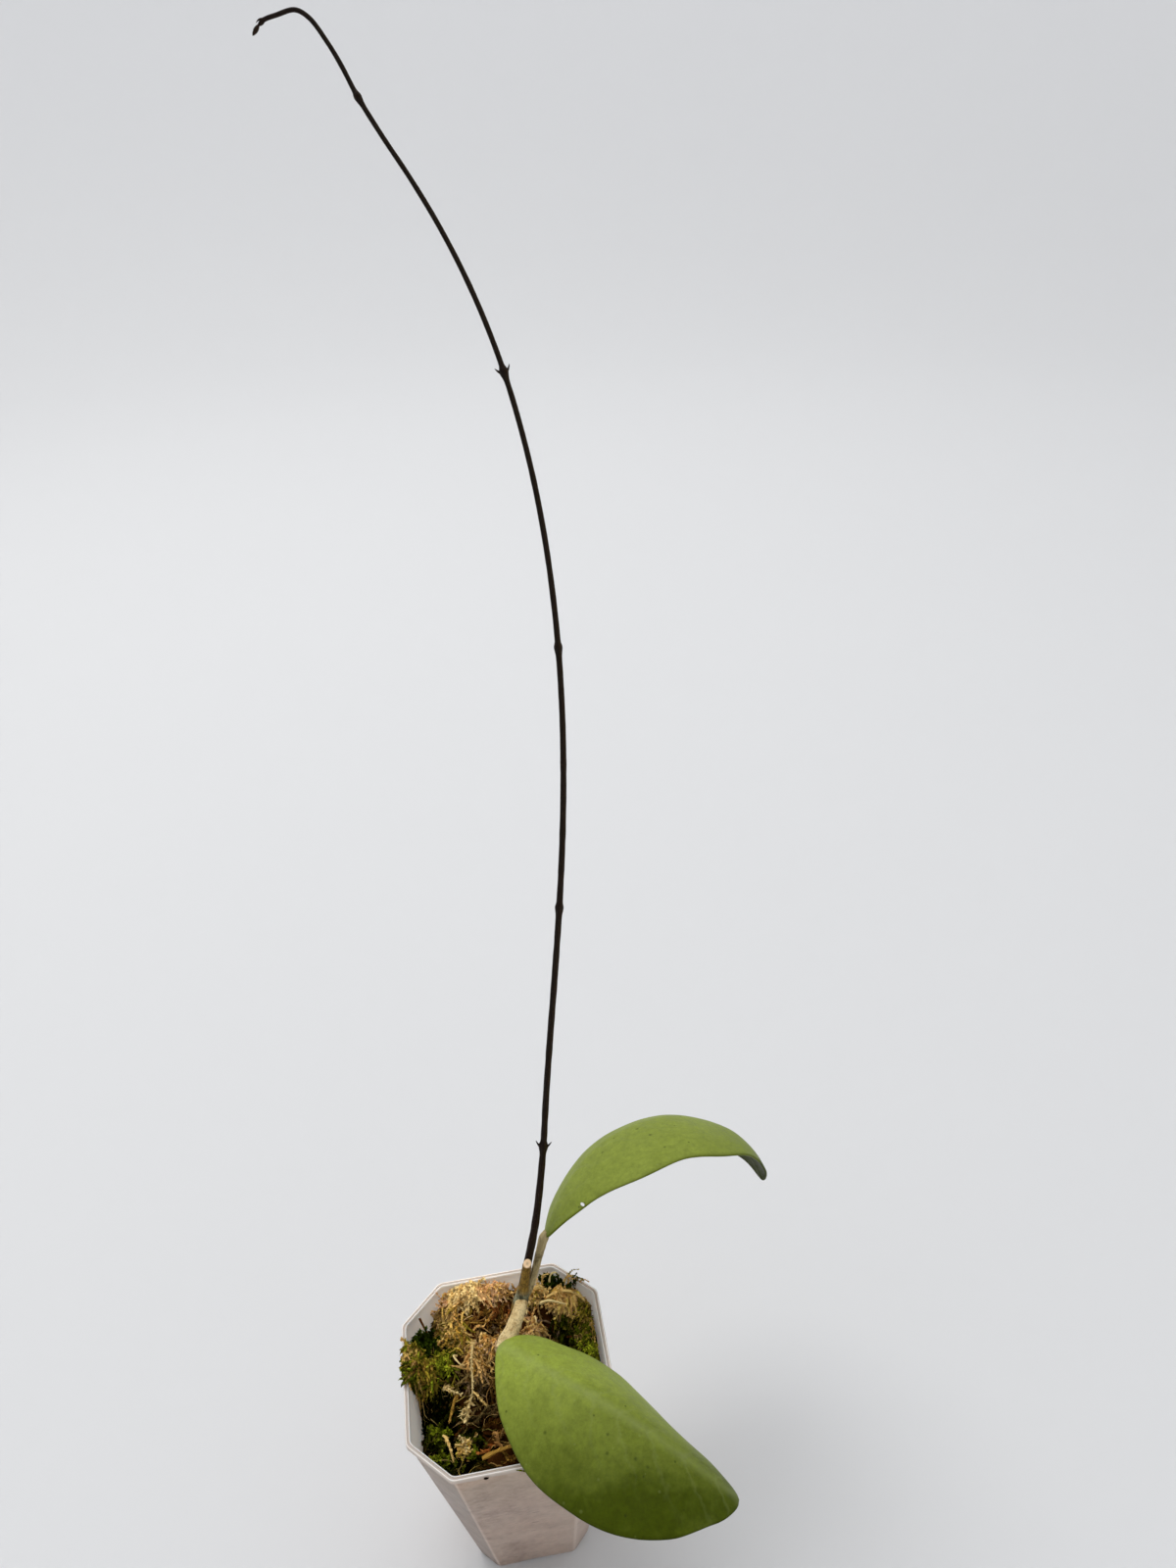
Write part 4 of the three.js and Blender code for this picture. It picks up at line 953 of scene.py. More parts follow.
# Patches of the bed that stand out: x, y, reach, tints, heading in degrees or None
PATCHES = (
    (-16.5, 24.0, 3.5, ("tan", "pink", "straw"), 80), (-9.0, 24.5, 3.6, ("cream", "straw", "cream"), 60),
    (-3.0, 25.5, 3.6, ("pink", "tan", "straw"), 20), (2.5, 24.0, 3.4, ("pink", "tan", "tan"), 100),
    (-11.5, 19.5, 2.8, ("golden", "tan"), 0), (-6.0, 18.5, 2.6, ("golden", "rust"), 20),
    (-1.0, 20.0, 2.8, ("rust", "dark"), 90), (-16.0, 18.0, 3.5, ("tan", "straw", "olive"), 80),
    (-9.5, 14.5, 3.2, ("tan", "golden", "pink"), 10), (-4.5, 11.0, 3.4, ("pink", "straw", "tan"), 70),
    (-22.5, 11.0, 3.0, ("deep",), None), (-26.0, 6.0, 3.0, ("olive", "leafy", "tan"), 170),
    (-24.0, 3.0, 2.4, ("rust", "olive", "golden"), 110), (-20.5, 3.0, 2.6, ("golden", "olive", "tan"), 85),
    (-17.5, 5.5, 2.2, ("bright", "leafy"), 80), (-16.0, -0.5, 2.6, ("dark", "deep", "olive"), None),
    (-13.0, 8.5, 2.6, ("olive", "tan"), 80), (-8.5, 3.0, 3.0, ("tan", "straw", "golden"), 85),
    (-5.0, -3.0, 3.6, ("rust", "golden", "dark"), None), (-9.0, -9.0, 2.6, ("tan", "straw"), 20),
    (-20.0, -11.0, 2.8, ("bright", "leafy"), None), (-22.0, -5.0, 3.2, ("dark", "deep"), None),
    (-20.0, -18.0, 3.6, ("dark", "deep", "leafy"), None), (-13.0, -17.0, 2.4, ("leafy", "dark"), None),
    (-7.0, -14.0, 3.0, ("dark", "rust", "leafy"), None), (-4.5, -22.5, 3.4, ("golden", "rust", "tan"), 5),
    (-12.0, -23.5, 2.8, ("olive", "dark"), 5), (2.0, -22.0, 4.0, ("golden", "rust"), 5),
    (10.0, 20.5, 3.0, ("straw", "tan"), 10), (17.0, 22.5, 3.0, ("deep",), None),
    (19.5, 18.0, 2.4, ("tan", "straw"), 5), (17.5, 13.0, 3.0, ("dark", "deep", "olive"), 90),
    (24.0, 7.0, 3.4, ("olive", "tan", "leafy"), 100), (8.0, 13.5, 3.0, ("pink", "tan", "rust"), 60),
    (18.5, 4.5, 2.6, ("rust", "dark"), 90), (24.5, 0.5, 2.2, ("bright", "leafy"), 90),
    (10.0, 8.0, 3.4, ("pink", "tan"), 30), (22.0, 13.0, 3.0, ("olive", "tan"), 95),
)
SPRIGS = {"tan": 250, "left": 170, "right": 120}
WISPS = {"tan": 130, "left": 50, "right": 40}

# Combed heaps: zone, x, y, half spans, heading in degrees, strand length, height, count, tints, leaf length
DRAPES = (
    ("tan", -9.5, 24.2, 3.6, 1.9, 235, 6.0, 4.2, 80, ("cream", "cream", "straw"), 1.5),
    ("tan", -2.5, 24.6, 3.6, 1.3, 250, 5.0, 4.0, 60, ("pink", "straw", "tan"), 1.4),
    ("tan", -16.0, 21.5, 2.6, 2.2, 240, 5.0, 3.0, 44, ("tan", "straw", "olive"), 1.4),
    ("tan", -14.5, 14.5, 4.0, 3.4, 262, 6.5, 2.4, 60, ("olive", "tan", "straw", "golden"), 1.5),
    ("tan", -8.5, 4.5, 2.2, 5.0, 268, 7.5, 2.8, 54, ("tan", "pink", "straw", "golden"), 1.3),
    ("tan", -3.5, 8.5, 3.0, 3.0, 262, 6.0, 2.2, 34, ("tan", "pink", "golden"), 1.4),
    ("tan", 10.5, 21.0, 2.6, 1.6, 215, 4.5, 4.4, 46, ("straw", "cream", "olive"), 1.4),
    ("tan", -1.0, 17.5, 3.2, 2.6, 240, 5.0, 1.8, 24, ("rust", "golden", "tan"), 1.3),
    ("right", 16.5, 11.0, 2.6, 3.4, 275, 6.0, 2.2, 34, ("leafy", "deep", "olive"), 1.4),
    ("tan", 8.5, 12.0, 2.4, 2.2, 285, 4.0, 2.4, 26, ("straw", "pink", "tan"), 1.2),
    ("right", 18.5, 18.6, 3.6, 1.4, 285, 7.5, 3.6, 60, ("straw", "olive", "tan"), 1.5),
    ("right", 24.0, 12.0, 1.6, 5.0, 272, 7.0, 2.4, 60, ("olive", "tan", "leafy"), 1.4),
    ("right", 24.4, 1.0, 1.2, 2.6, 270, 4.5, 2.4, 34, ("bright", "leafy", "olive"), 1.2),
    ("left", -25.0, 5.0, 1.8, 3.8, 255, 6.0, 5.2, 90, ("olive", "leafy", "golden", "leafy", "tan"), 1.4),
    ("left", -21.5, 3.0, 1.8, 3.4, 268, 6.0, 4.0, 60, ("olive", "golden", "leafy"), 1.3),
    ("left", -17.0, 5.5, 2.2, 2.4, 262, 5.0, 2.6, 36, ("bright", "leafy", "olive"), 1.3),
    ("left", -13.5, -15.5, 1.8, 2.0, 280, 4.5, 2.6, 22, ("straw", "olive", "golden"), 1.4),
)

# Living shoots: zone, x, y, reach, count, height, tint, leaf length
CUSHIONS = (
    ("left", -22.5, 10.5, 2.2, 60, 2.8, "deep", 1.5), ("right", 17.0, 22.3, 2.8, 36, 5.0, "deep", 1.3),
    ("left", -20.0, -11.0, 2.4, 18, 2.4, "leafy", 1.6), ("left", -17.5, 5.5, 2.0, 16, 2.2, "bright", 1.5),
    ("tan", -9.0, 24.5, 2.6, 20, 4.6, "cream", 1.3), ("tan", 11.0, 21.5, 1.6, 12, 4.6, "straw", 1.2),
    ("right", 24.3, 0.5, 1.8, 16, 2.8, "bright", 1.4), ("left", -13.0, -17.5, 2.6, 14, 2.0, "leafy", 1.4),
    ("left", -20.5, -16.0, 2.4, 16, 1.8, "leafy", 1.5), ("right", 23.5, 6.0, 2.4, 14, 2.4, "leafy", 1.4),
)

# Strands that can be told apart: zone, route, tint, leaf length, leaves per mm, leaf lean, stem radius
SINGLE_STRANDS = (
    ("tan", ((-8.2, 10.0, 72.0), (-8.5, 8.6, 76.2), (-9.4, 2.0, 76.6), (-9.6, -5.0, 76.2),
             (-10.8, -8.6, 75.8), (-11.6, -11.8, 75.2)), "cream", 1.3, 3.4, 0.75, 0.34),
    ("tan", ((-9.6, -5.2, 75.8), (-8.2, -7.2, 76.1), (-6.4, -9.4, 75.2)), "straw", 1.4, 4, 0.6, 0.28),
    ("tan", ((-9.0, 4.0, 76.0), (-7.6, 1.0, 76.4), (-7.0, -2.4, 75.4)), "tan", 1.4, 4.5, 0.5, 0.3),
    ("left", ((-10.4, -7.2, 75.9), (-11.0, -9.6, 76.5), (-12.2, -12.4, 75.4)), "cream", 2.0, 5.5, 0.95, 0.34),
    ("left", ((-10.8, -9.4, 75.8), (-12.4, -10.2, 76.4), (-13.4, -11.6, 75.6)), "cream", 1.6, 5, 0.95, 0.28),
    ("left", ((-13.4, 6.6, 74.0), (-14.1, 5.4, 76.2), (-13.2, 3.6, 76.6), (-12.0, 2.6, 75.6),
              (-11.6, 3.6, 74.2)), "cream", 0.7, 3, 0.5, 0.42),
    ("left", ((-17.6, -1.6, 73.0), (-16.6, -2.8, 75.6), (-15.0, -4.2, 75.8), (-13.2, -4.6, 74.6)),
     "cream", 1.5, 5, 0.75, 0.36),
    ("left", ((-14.0, -4.6, 74.4), (-14.8, -7.0, 75.8), (-16.4, -11.4, 75.0)), "golden", 1.3, 5, 0.5, 0.45),
    ("left", ((-18.4, -14.4, 73.8), (-17.3, -16.6, 76.0), (-16.7, -19.0, 75.8), (-16.2, -21.0, 74.2)),
     "straw", 1.5, 4.5, 0.45, 0.42),
    ("left", ((-14.2, -15.4, 74.2), (-13.2, -17.6, 75.6), (-12.6, -19.6, 74.6)), "cream", 1.6, 5, 0.95, 0.26),
    ("left", ((-15.4, -17.6, 74.4), (-13.4, -18.6, 75.6), (-11.6, -17.4, 75.0)), "straw", 1.4, 5, 0.95, 0.24),
    ("tan", ((-8.6, -22.6, 74.8), (-5.0, -22.2, 76.2), (-1.0, -21.6, 76.0), (1.5, -21.0, 74.8)),
     "golden", 1.4, 5, 0.35, 0.65),
    ("right", ((13.6, 18.6, 74.8), (17.0, 18.4, 77.0), (20.8, 17.4, 77.2), (23.6, 15.8, 75.4)),
     "straw", 1.6, 6, 0.4, 0.62),
    ("tan", ((8.6, 19.6, 74.4), (10.0, 20.6, 77.0), (12.4, 20.6, 77.2), (14.0, 19.4, 75.0)),
     "straw", 1.5, 6, 0.4, 0.75),
    ("right", ((11.4, 16.6, 75.6), (13.4, 16.2, 77.0), (15.4, 15.6, 77.0), (18.6, 14.8, 75.8)),
     "cream", 0.4, 1, 0.4, 0.5),
    ("right", ((14.6, 21.6, 75.0), (15.6, 23.4, 78.4), (17.2, 23.2, 79.0), (17.8, 21.6, 77.0)),
     "cream", 0.8, 3, 0.4, 0.4),
    ("right", ((18.0, 20.6, 75.4), (20.0, 22.0, 77.6), (21.8, 22.2, 77.4)), "straw", 1.4, 5, 0.5, 0.3),
    ("right", ((12.6, 22.6, 75.0), (13.4, 23.8, 77.6), (15.0, 24.2, 77.4)), "straw", 1.4, 5, 0.5, 0.3),
    ("tan", ((7.6, 15.6, 74.4), (7.3, 14.2, 77.2), (7.2, 12.8, 78.0)), "cream", 0.4, 1, 0.3, 0.36),
    ("tan", ((9.4, 13.6, 74.4), (9.6, 11.9, 76.6), (9.6, 10.4, 76.8)), "cream", 0.4, 1, 0.3, 0.4),
)


def moss_height(x, y):
    z = np.full(np.shape(x), MOSS_LEVEL)
    for lump_x, lump_y, rise, spread_by in MOSS_LUMPS:
        z = z + rise * np.exp(-((x - lump_x) ** 2 + (y - lump_y) ** 2) / (2 * spread_by ** 2))
    z = z + 0.5 * np.sin(0.9 * x + 0.6 * y) + 0.45 * np.sin(1.3 * y - 0.7 * x + 1)
    return z + 0.35 * np.sin(2.1 * x + 0.4) * np.sin(1.9 * y + 0.8)


def inside_reach(angle, z):
    """Where a ray from the pot's axis meets the inside of the wall, at a height."""
    width, cut = wall_size(z)
    inward = WALL + MOSS_WALL_GAP
    diagonal = width - cut - 2 * inward + (2 - math.sqrt(2)) * inward
    c, s = np.abs(np.cos(angle)), np.abs(np.sin(angle))
    return np.minimum((width / 2 - inward) / np.maximum(c, s), diagonal / (c + s))


def depth_shade(x, y):
    """Painted shade: strands rooted in the hollows are darker, and so are those near the front."""
    return float(np.clip((moss_height(x, y) - 67.6) / 5.0, 0.3, 1.0)) * (0.6 if y < -11 else 1.0)


def kept_inside(x, y, margin):
    """A point, drawn back where it would reach the wall."""
    share = np.hypot(x, y) / inside_reach(np.arctan2(y, x), MOSS_LEVEL)
    scale = np.minimum(1, margin / np.maximum(share, 1e-6))
    return x * scale, y * scale


def inside_outline(x, y, outline):
    inside = False
    for (ax, ay), (bx, by) in zip(outline, outline[1:] + outline[:1]):
        if (ay > y) != (by > y) and x < (bx - ax) * (y - ay) / (by - ay) + ax:
            inside = not inside
    return inside


def zone_of(x, y):
    if inside_outline(x, y, LEFT_GREEN):
        return "left"
    return "right" if inside_outline(x, y, RIGHT_GREEN) else "tan"


def pick(rng, names):
    return TINTS[names[rng.integers(len(names))]]


def palette_at(rng, x, y):
    """The tint of a strand rooted at a place, and its heading in degrees or None."""
    best, chosen = 0.25, None
    for patch in PATCHES:
        closeness = math.exp(-((x - patch[0]) ** 2 + (y - patch[1]) ** 2) / (2 * patch[2] ** 2))
        closeness *= rng.uniform(0.6, 1.0)
        if closeness > best:
            best, chosen = closeness, patch
    names, heading = chosen[3:] if chosen else (ZONE_TINTS[zone_of(x, y)], None)
    tint, other = pick(rng, names), pick(rng, names)
    return held(blend(tint, other, rng.uniform(0, 0.5)) * math.exp(rng.normal(0, 0.4))), heading


def strand_path(rng, x, y, length, rise, heading, margin):
    """A strand leaves the bed, arches over and dips back, with small bends of its own."""
    t = np.linspace(0, 1, STRAND_STATIONS)
    angle = heading + rng.uniform(-0.9, 0.9) * t + 0.25 * np.sin(t * 7 + rng.uniform(0, 6))
    along = length * (t - 0.35)
    px, py = kept_inside(x + along * np.cos(angle), y + along * np.sin(angle), margin)
    lift = rise * np.sin(math.pi * np.minimum(1, t * 1.12)) - ROOT_DEPTH * (1 - t) ** 2
    lift = lift + 0.3 * np.sin(t * 9 + rng.uniform(0, 6)) * t
    highest = np.where(py < FRONT_STRIP, LOW_TOP, 78.6)
    return np.column_stack([px, py, np.minimum(moss_height(px, py) + lift, highest)])


def held(tint):
    """Tints no brighter than a real surface, with their hue kept."""
    tint = np.asarray(tint, float)
    return tint * np.minimum(1, 0.93 / tint.max(axis=-1, keepdims=True))


def leafy(shape, rng, path, tint, leaf, per_mm, lean, stem):
    """A moss strand: a thin stem clothed in tiny pointed leaves."""
    path = smooth_path(path, STRAND_STATIONS)
    stations = np.linspace(0, 1, STRAND_STATIONS)
    length = np.linalg.norm(np.diff(path, axis=0), axis=1).sum()
    knots = 1 + 0.22 * np.sin(np.arange(STRAND_STATIONS) * 2.3 + rng.uniform(0, 6))
    tube(shape, path, np.linspace(stem, stem * 0.45, STRAND_STATIONS) * knots, 4, held(tint) * 0.85)
    count = max(6, int(length * per_mm))
    s = np.sort(rng.uniform(0.02, 1.0, count))
    place, along, across, over = (between(s, stations, field) for field in (path, *frames_along(path)))
    turn = np.arange(count) * 2.4 + rng.uniform(0, 1, count)
    out = across * np.cos(turn)[:, None] + over * np.sin(turn)[:, None]
    side = np.cross(along, out)
    slant = np.clip(lean + rng.normal(0, 0.22, count), 0.15, 1.35)[:, None]
    size = (leaf * rng.uniform(0.65, 1.3, count) * (1 - 0.35 * s ** 3))[:, None]
    direction = along * np.cos(slant) + out * np.sin(slant)
    hump = out * np.cos(slant) - along * np.sin(slant)
    droop = np.array((0, 0, -0.12)) * size
    width = 0.19 * size + 0.10
    middle = place + direction * size * 0.45 - hump * width * 0.5
    tip = place + direction * size - hump * size * 0.1 + droop
    kite = np.stack([place, middle + side * width, middle - side * width, tip], axis=1)
    faces = np.array([(0, 1, 3), (0, 3, 2), (0, 2, 1), (1, 2, 3)])
    faces = (faces[None] + (np.arange(count) * 4)[:, None, None]).reshape(-1, 3)
    # Painted shade and light: each leaf darker at its root and one side, lighter at its tip, over a random
    # brightness
    shade = np.exp(rng.normal(0, 0.3, count))[:, None, None] * np.array([0.6, 1.0, 0.8, 1.25])[:, None]
    shape.add(kite.reshape(-1, 3), faces, held(tint * shade).reshape(-1, 3))


def wisp(shape, path, tint, radius):
    """A bare, hair-thin strand."""
    path = smooth_path(path, STRAND_STATIONS)
    t = np.linspace(0, 1, STRAND_STATIONS)
    # Painted shade: darker at the root, lighter towards the tip
    shade = np.linspace(0.7, 1.1, STRAND_STATIONS)[:, None]
    tube(shape, path, radius * (1 - 0.8 * t ** 1.5), 3, held(tint * shade))


def shoot(shape, rng, x, y, height, tint, leaf):
    """An upright leafy shoot with a star of leaves at its top."""
    lean = rng.normal(0, 0.5, 2)
    top = np.array((lean[0] * height, lean[1] * height, height + 1.5))
    path = np.array((x, y, moss_height(x, y) - 1.5)) + np.linspace(0, 1, 5)[:, None] * top
    path[:, 0], path[:, 1] = kept_inside(path[:, 0], path[:, 1], 0.95)
    leafy(shape, rng, path, tint, leaf, 7, 0.75, 0.16)


def make_bed(shape):
    """The closed, lumpy body of the moss that all strands grow from."""
    spokes, wall_rings, top_rings = 120, 6, 34
    bottom, seed = FLOOR_TOP + 0.2, 61
    angles = around(spokes)
    rings = []
    for share in [1.0] * wall_rings + list(np.linspace(1, 0.03, top_rings)):
        z = np.full(spokes, MOSS_LEVEL)
        for _ in range(3):
            reach = share * inside_reach(angles, z) * 0.985
            z = moss_height(reach * np.cos(angles), reach * np.sin(angles))
        rings.append(np.column_stack([reach * np.cos(angles), reach * np.sin(angles), z - 1.0]))
    for k in range(wall_rings):
        z = blend(bottom, rings[k][:, 2] - 0.5, k / (wall_rings - 1))
        reach = inside_reach(angles, z) * 0.985
        rings[k] = np.column_stack([reach * np.cos(angles), reach * np.sin(angles), z])
    for ring in rings[wall_rings:]:
        ring[:, 2] += 0.7 * ripples(ring, 3.2, seed) + 0.35 * ripples(ring, 1.3, seed + 1)
    quads, fans = ring_faces(len(rings), spokes)
    points = np.vstack(rings + [np.array([[0, 0, bottom]]), rings[-1].mean(axis=0)[None]])
    # Painted shade: the bed shows only in gaps between strands, so its top is its zone's tint darkened near
    # to black
    tints = []
    for x, y, z in points:
        against_wall = math.hypot(x, y) > 0.9 * float(inside_reach(math.atan2(y, x), z)) and z < 70
        own = TINTS["rust" if zone_of(x, y) == "tan" else "leafy"]
        tints.append(TINTS["tan"] * 0.4 if against_wall else own * 0.16)
    shape.add(points, quads, np.array(tints))
    shape.faces.append(fans)


def sprinkle(rng, shape, zone, kind, total):
    """Leafy strands or bare wisps, spread over one colour's part of the bed."""
    made = 0
    while made < total:
        x, y = rng.uniform(-27, 27, 2)
        share = math.hypot(x, y) / float(inside_reach(math.atan2(y, x), MOSS_LEVEL))
        if share > 0.97 or zone_of(x, y) != zone:
            continue
        made += 1
        tint, heading = palette_at(rng, x, y)
        toward = math.radians(heading) if heading is not None else rng.uniform(0, 2 * math.pi)
        toward += rng.normal(0, 0.5) + (math.pi if rng.uniform() < 0.5 else 0)
        level = rng.uniform()
        piled = 2.2 * float(smoothstep((y - 16) / 6)) * (x < 8) + 0.8
        if kind == "sprig":
            rise = blend(-0.2, 1.7, level) + piled * level
            path = strand_path(rng, x, y, rng.uniform(5, 11), rise, toward, 0.94)
            # Painted light high in the pile, painted shade low down and in the hollows
            lit = blend(0.2, 1.4, level) if zone == "tan" else blend(0.06, 0.8, level)
            leafy(shape, rng, path, tint * lit * depth_shade(x, y), rng.uniform(1.0, 1.8), 3.4,
                  rng.uniform(0.3, 0.8), rng.uniform(0.16, 0.4))
        else:
            rise = rng.uniform(0.8, 2.2) + piled * level
            path = strand_path(rng, x, y, rng.uniform(4, 9), rise, toward, 0.95)
            wisp(shape, path, blend(tint, TINTS["straw"], 0.35), rng.uniform(0.09, 0.2))


def make_drapes(rng, shapes):
    """Plush heaps of leafy strands that rise from the bed and hang over one another, combed one way."""
    t = np.linspace(0, 1, 8)
    for zone, x, y, reach_x, reach_y, heading, length, height, count, names, leaf in DRAPES:
        bright = names[0] in BRIGHT
        for _ in range(int(1.5 * count)):
            dx, dy = rng.uniform(-1, 1, 2) * (reach_x, reach_y)
            level = rng.uniform() ** 0.8
            angle = math.radians(heading) + rng.normal(0, 0.55) + rng.normal(0, 0.9) * t
            run = length * rng.uniform(0.5, 0.95) * (t - 0.25)
            px, py = x + dx + run * np.cos(angle), y + dy + run * np.sin(angle)
            over_rim = np.zeros(len(t), bool)
            if zone == "left":
                px = np.maximum(px, -27.4 - rng.uniform(0, 0.9))
                over_rim = px < -25.8
            else:
                px, py = kept_inside(px, py, 0.965)
            lift = height * (0.3 + 0.7 * level) * smoothstep(t * 3.5 + 0.1)
            lift = lift * (1 - 0.85 * smoothstep((t - 0.3) / 0.75))
            lift = lift + (0.5 * np.sin(t * 7 + rng.uniform(0, 6)) + max(0.0, rng.normal(0, 1.3)) * t) * t
            z = np.minimum(moss_height(px, py) + lift - 0.6, np.where(py < FRONT_STRIP, LOW_TOP, 79.6))
            tint = blend(pick(rng, names), TINTS[names[0]], rng.uniform(0, 0.6))
            # Painted light high in the heap, painted shade low down and in hollows, little in bright heaps
            tint = tint * math.exp(rng.normal(0, 0.35)) * ((1.05 if bright else 0.15) + 1.2 * level ** 1.5)
            tint = tint * (1 if bright else depth_shade(x + dx, y + dy))
            path = np.column_stack([px, py, np.where(over_rim, np.maximum(z, 77.6), z)])
            leafy(shapes[zone], rng, path, tint, leaf * rng.uniform(0.7, 1.2), 3.3,
                  rng.uniform(0.25, 0.65), rng.uniform(0.2, 0.42))


def make_cushions(rng, shapes):
    """Living shoots: dark cushions left and right, and bright tufts."""
    for zone, x, y, reach, count, height, tint, leaf in CUSHIONS:
        for _ in range(count):
            dx, dy = rng.normal(0, reach * 0.55, 2)
            colour = TINTS[tint] * rng.uniform(0.5, 1.7)
            place = kept_inside(x + dx, y + dy, 0.93)
            shoot(shapes[zone], rng, *place, height * rng.uniform(0.5, 1.15), colour, leaf)


def spill_strand(rng, x, y, heading, length, top, droop):
    """A strand that climbs over the rim and hangs a little way outside it."""
    t = np.linspace(0, 1, STRAND_STATIONS)
    angle = heading + rng.uniform(-0.6, 0.6) + rng.uniform(-0.7, 0.7) * t
    px = x + length * t * np.cos(angle)
    py = y + length * t * np.sin(angle)
    z = blend(moss_height(x, y) - 0.5, top, smoothstep(t * 2.2)) - droop * smoothstep((t - 0.55) / 0.45)
    over_rim = np.maximum(np.abs(px), np.abs(py)) > 25.0
    return np.column_stack([px, py, np.where(over_rim, np.maximum(z, 77.7), z)])


def make_spills(rng, shapes):
    """Tufts against the back wall, the left heap on the rim, and wiry strands at the back right corner."""
    for _ in range(110):
        x = rng.uniform(-19, 6)
        y = 26.0 - max(0, -x - 15) * 0.9 - rng.uniform(0, 3)
        top = np.array((rng.normal(0, 1.6), rng.normal(-0.5, 0.9), rng.uniform(2.5, 5.4)))
        path = np.array((x, y, moss_height(x, y) - 1)) + np.linspace(0, 1, 6)[:, None] * top
        path[:, 2] = np.minimum(path[:, 2], 77.8)
        tint = pick(rng, ("tan", "straw", "pink"))
        if rng.uniform() < 0.7:
            leafy(shapes["tan"], rng, path, tint, rng.uniform(1.1, 1.8), 3.6, 0.3, 0.24)
        else:
            wisp(shapes["tan"], path, tint, rng.uniform(0.1, 0.2))
    for _ in range(60):
        x, y = rng.uniform(-25.5, -22), rng.uniform(1.0, 10.5)
        tint = pick(rng, ("olive", "leafy", "olive", "tan", "golden", "bright"))
        path = spill_strand(rng, x, y, math.radians(205), rng.uniform(2.5, 5), rng.uniform(77.9, 79.4),
                            rng.uniform(0, 1.5))
        path[:, 0] = np.maximum(path[:, 0], -27.6 - rng.uniform(0, 1.4))
        path[:, 2] = np.minimum(path[:, 2], 79.6)
        leafy(shapes["left"], rng, path, tint * rng.uniform(0.4, 1.0), rng.uniform(1.1, 1.6), 3.6, 0.35, 0.26)
    for _ in range(9):
        x, y = rng.uniform(19, 22.5), rng.uniform(19, 22)
        tint = pick(rng, ("deep", "leafy", "tan", "olive"))
        path = spill_strand(rng, x, y, math.radians(30), rng.uniform(2.2, 4.0), rng.uniform(77.8, 78.5), 0.3)
        leafy(shapes["right"], rng, path, tint, 0.8, 5, 0.6, 0.12)


def make_single_strands(rng, shapes):
    """Strands that lie alone on top, a twig, and two crumbs on the front of the rim."""
    for zone, path, tint, leaf, per_mm, lean, stem in SINGLE_STRANDS:
        leafy(shapes[zone], rng, path, TINTS[tint], leaf, per_mm, lean, stem)
    twig = ((-22.8, 17.6, 77.4), (-22.3, 16.9, 75.6), (-21.4, 15.6, 73.4), (-20.4, 14.6, 72.0))
    wisp(shapes["tan"], twig, TINTS["rust"] * 0.5, 0.42)
    dark_crumb = ((-8.6, -28.1, 75.9), (-8.0, -28.3, 75.9), (-7.4, -28.1, 75.8))
    wisp(shapes["tan"], dark_crumb, TINTS["dark"] * 0.5, 0.5)
    green_crumb = ((-0.4, -27.8, 76.6), (0.8, -28.2, 76.4), (1.8, -28.2, 75.6))
    leafy(shapes["left"], rng, green_crumb, TINTS["leafy"], 0.7, 7, 0.4, 0.25)


def make_moss():
    rng = np.random.default_rng(20)
    shapes = {zone: Shape() for zone in SPRIGS}
    make_bed(shapes["tan"])
    for zone, shape in shapes.items():
        sprinkle(rng, shape, zone, "sprig", SPRIGS[zone])
        sprinkle(rng, shape, zone, "wisp", WISPS[zone])
    make_drapes(rng, shapes)
    make_cushions(rng, shapes)
    make_spills(rng, shapes)
    make_single_strands(rng, shapes)
    dried = moss_material("dried_moss", (0.55, 0.42, 0.30))
    green = moss_material("green_moss", (0.45, 0.48, 0.30))
    for zone, name, material, slot, cad_node in (
            ("tan", "moss_bed", dried, "moss_tan", "moss_tan"),
            ("left", "moss_left_strands", green, "moss_green", "moss_green_left"),
            ("right", "moss_right_strands", green, "moss_green", "moss_green_right")):
        dress(put_mesh(name, shapes[zone], material, smooth_below=45), slot, cad_node)


# The stage, the light and the view

def make_stage():
    """A pale floor that curves up into a wall all round."""
    finish = Finish("pale_backdrop", Roughness=0.9, Specular_IOR_Level=0.1)
    place = finish.metres()
    _, _, height = place.parts("XYZ")
    colour = mixed(mottle(place, 0.9, 0.6), (0.72, 0.72, 0.725), (0.75, 0.75, 0.75))
    # Painted light: the backdrop is paler higher up
    finish.feed("Base Color", mixed(spread(height, 0.0, 0.9), colour, (0.93, 0.93, 0.94)))
    bend, top, sides = 1.3, 1.8, 72
    curve = np.linspace(0.1, math.pi / 2, 16)
    profile = [(0.4, 0), (0.8, 0), (bend, 0)]
    profile += [(bend + bend * math.sin(a), bend * (1 - math.cos(a))) for a in curve] + [(2 * bend, top)]
    points = [(r * math.cos(a), r * math.sin(a), z) for r, z in profile for a in around(sides)] + [(0, 0, 0)]
    quads, _ = ring_faces(len(profile), sides)
    faces = quads[:, ::-1].tolist() + [(len(profile) * sides, k, (k + 1) % sides) for k in range(sides)]
    mesh = bpy.data.meshes.new("backdrop")
    mesh.from_pydata(points, [], faces)
    mesh.polygons.foreach_set("use_smooth", np.ones(len(mesh.polygons), bool))
    mesh.materials.append(finish.material)
    put_object("backdrop", mesh)


def add_lamp(name, kind, place, toward, power, colour, **settings):
    light = bpy.data.lights.new(name, kind)
    light.energy, light.color = power, colour
    for key, value in settings.items():
        setattr(light, key, value)
    lamp = put_object(name, light)
    lamp.location = place
    lamp.rotation_mode = "QUATERNION"
    lamp.rotation_quaternion = (Vector(toward) - Vector(place)).to_track_quat("-Z", "Y")


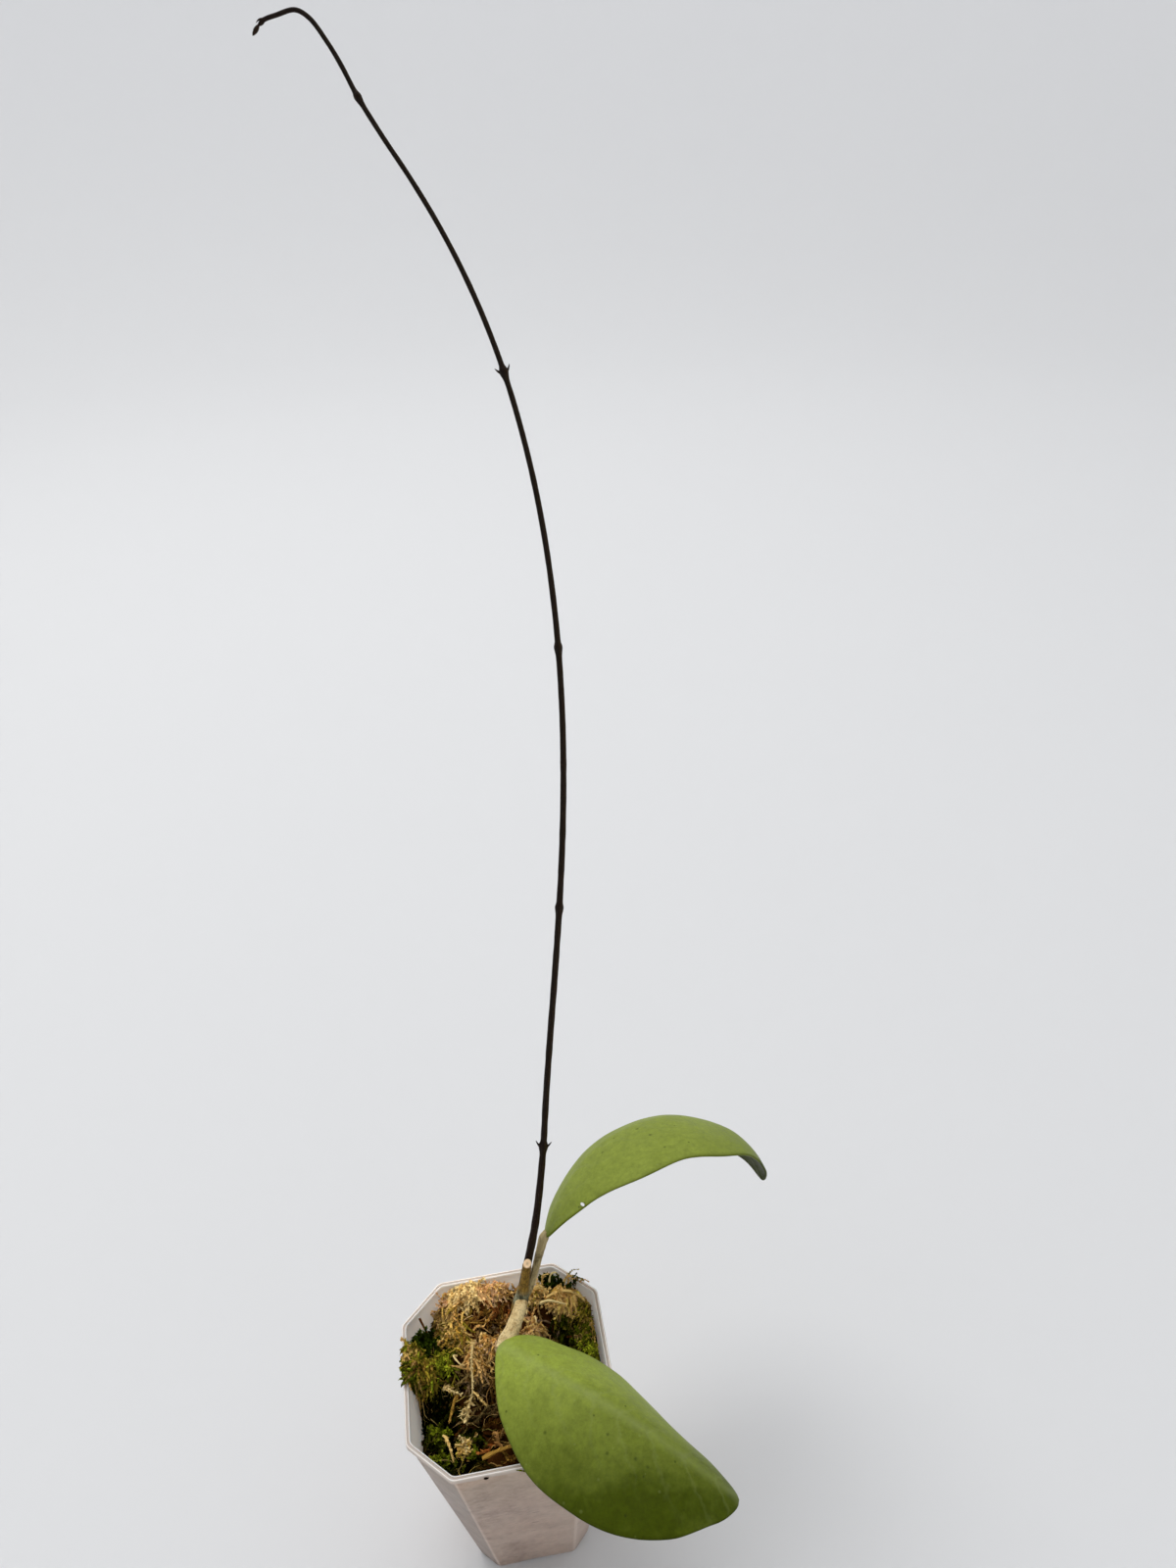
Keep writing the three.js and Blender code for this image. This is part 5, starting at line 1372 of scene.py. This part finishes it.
def light_scene():
    """Broad lamps overhead and on the backdrop, a narrow one on the pale moss at the back, and the sky."""
    add_lamp("overhead_softbox", "AREA", (-0.45, 0.75, 1.7), (0, 0.02, 0.12), 12, (1.0, 0.99, 0.97),
             shape="DISK", size=1.3)
    add_lamp("backdrop_wash", "AREA", (0, 1.0, 2.3), (0, 2.9, 0.7), 11, (0.97, 0.985, 1.0),
             shape="DISK", size=1.6)
    add_lamp("moss_spot", "SPOT", (-0.04, -0.10, 0.80), (-0.007, 0.0215, 0.077), 15, (1.0, 0.94, 0.84),
             spot_size=math.radians(2.5), spot_blend=1.0, shadow_soft_size=0.01)
    world = bpy.data.worlds.new("soft_sky")
    world.use_nodes = True
    tree = world.node_tree
    _, depth, _ = node(tree, "ShaderNodeTexCoord", {}, "Generated").parts("XYZ")
    background = tree.nodes["Background"]
    background.inputs["Color"].default_value = (0.95, 0.97, 1.0, 1)
    tree.links.new(spread(depth, -0.6, 0.5, SKY_FRONT, SKY_BACK).socket, background.inputs["Strength"])
    bpy.context.scene.world = world
    bpy.context.scene.view_settings.view_transform = "Standard"


def add_camera():
    forward, up = Vector(CAMERA_FORWARD).normalized(), Vector(CAMERA_UP).normalized()
    right = forward.cross(up).normalized()
    up = right.cross(forward)
    data = bpy.data.cameras.new("camera")
    data.lens, data.sensor_width = CAMERA_LENS, 36.0
    camera = put_object("camera", data)
    turned = Matrix((right, up, -forward)).transposed().to_4x4()
    camera.matrix_world = Matrix.Translation(Vector(CAMERA_AT) * MM) @ turned
    bpy.context.scene.camera = camera


add_camera()
make_stage()
light_scene()
make_pot()
# Each leaf gets its light green, and the deep green of the painted shade on its drooping side
front_green = leaf_material("front_leaf_green", FRONT_LEAF, (0.266, 0.326, 0.046), (0.046, 0.063, 0.0005),
                            (0.19, 0.98, 0), (-9, -40), FRONT_MARKS)
make_leaf("front_leaf_blade", FRONT_LEAF, "front_leaf", front_green, 71)
back_green = leaf_material("back_leaf_green", BACK_LEAF, (0.216, 0.264, 0.040), (0.148, 0.187, 0.014),
                           (-0.2, 0.6, 0.77), (98, 78), BACK_MARKS, hook_from=81)
make_leaf("back_leaf_blade", BACK_LEAF, "back_leaf", back_green, 75,
          holes=(((26.2, 18.4, 114.6), (0.1, -0.8, 0.6), 0.52),))
make_old_stem()
make_stalks()
make_runner()
make_moss()
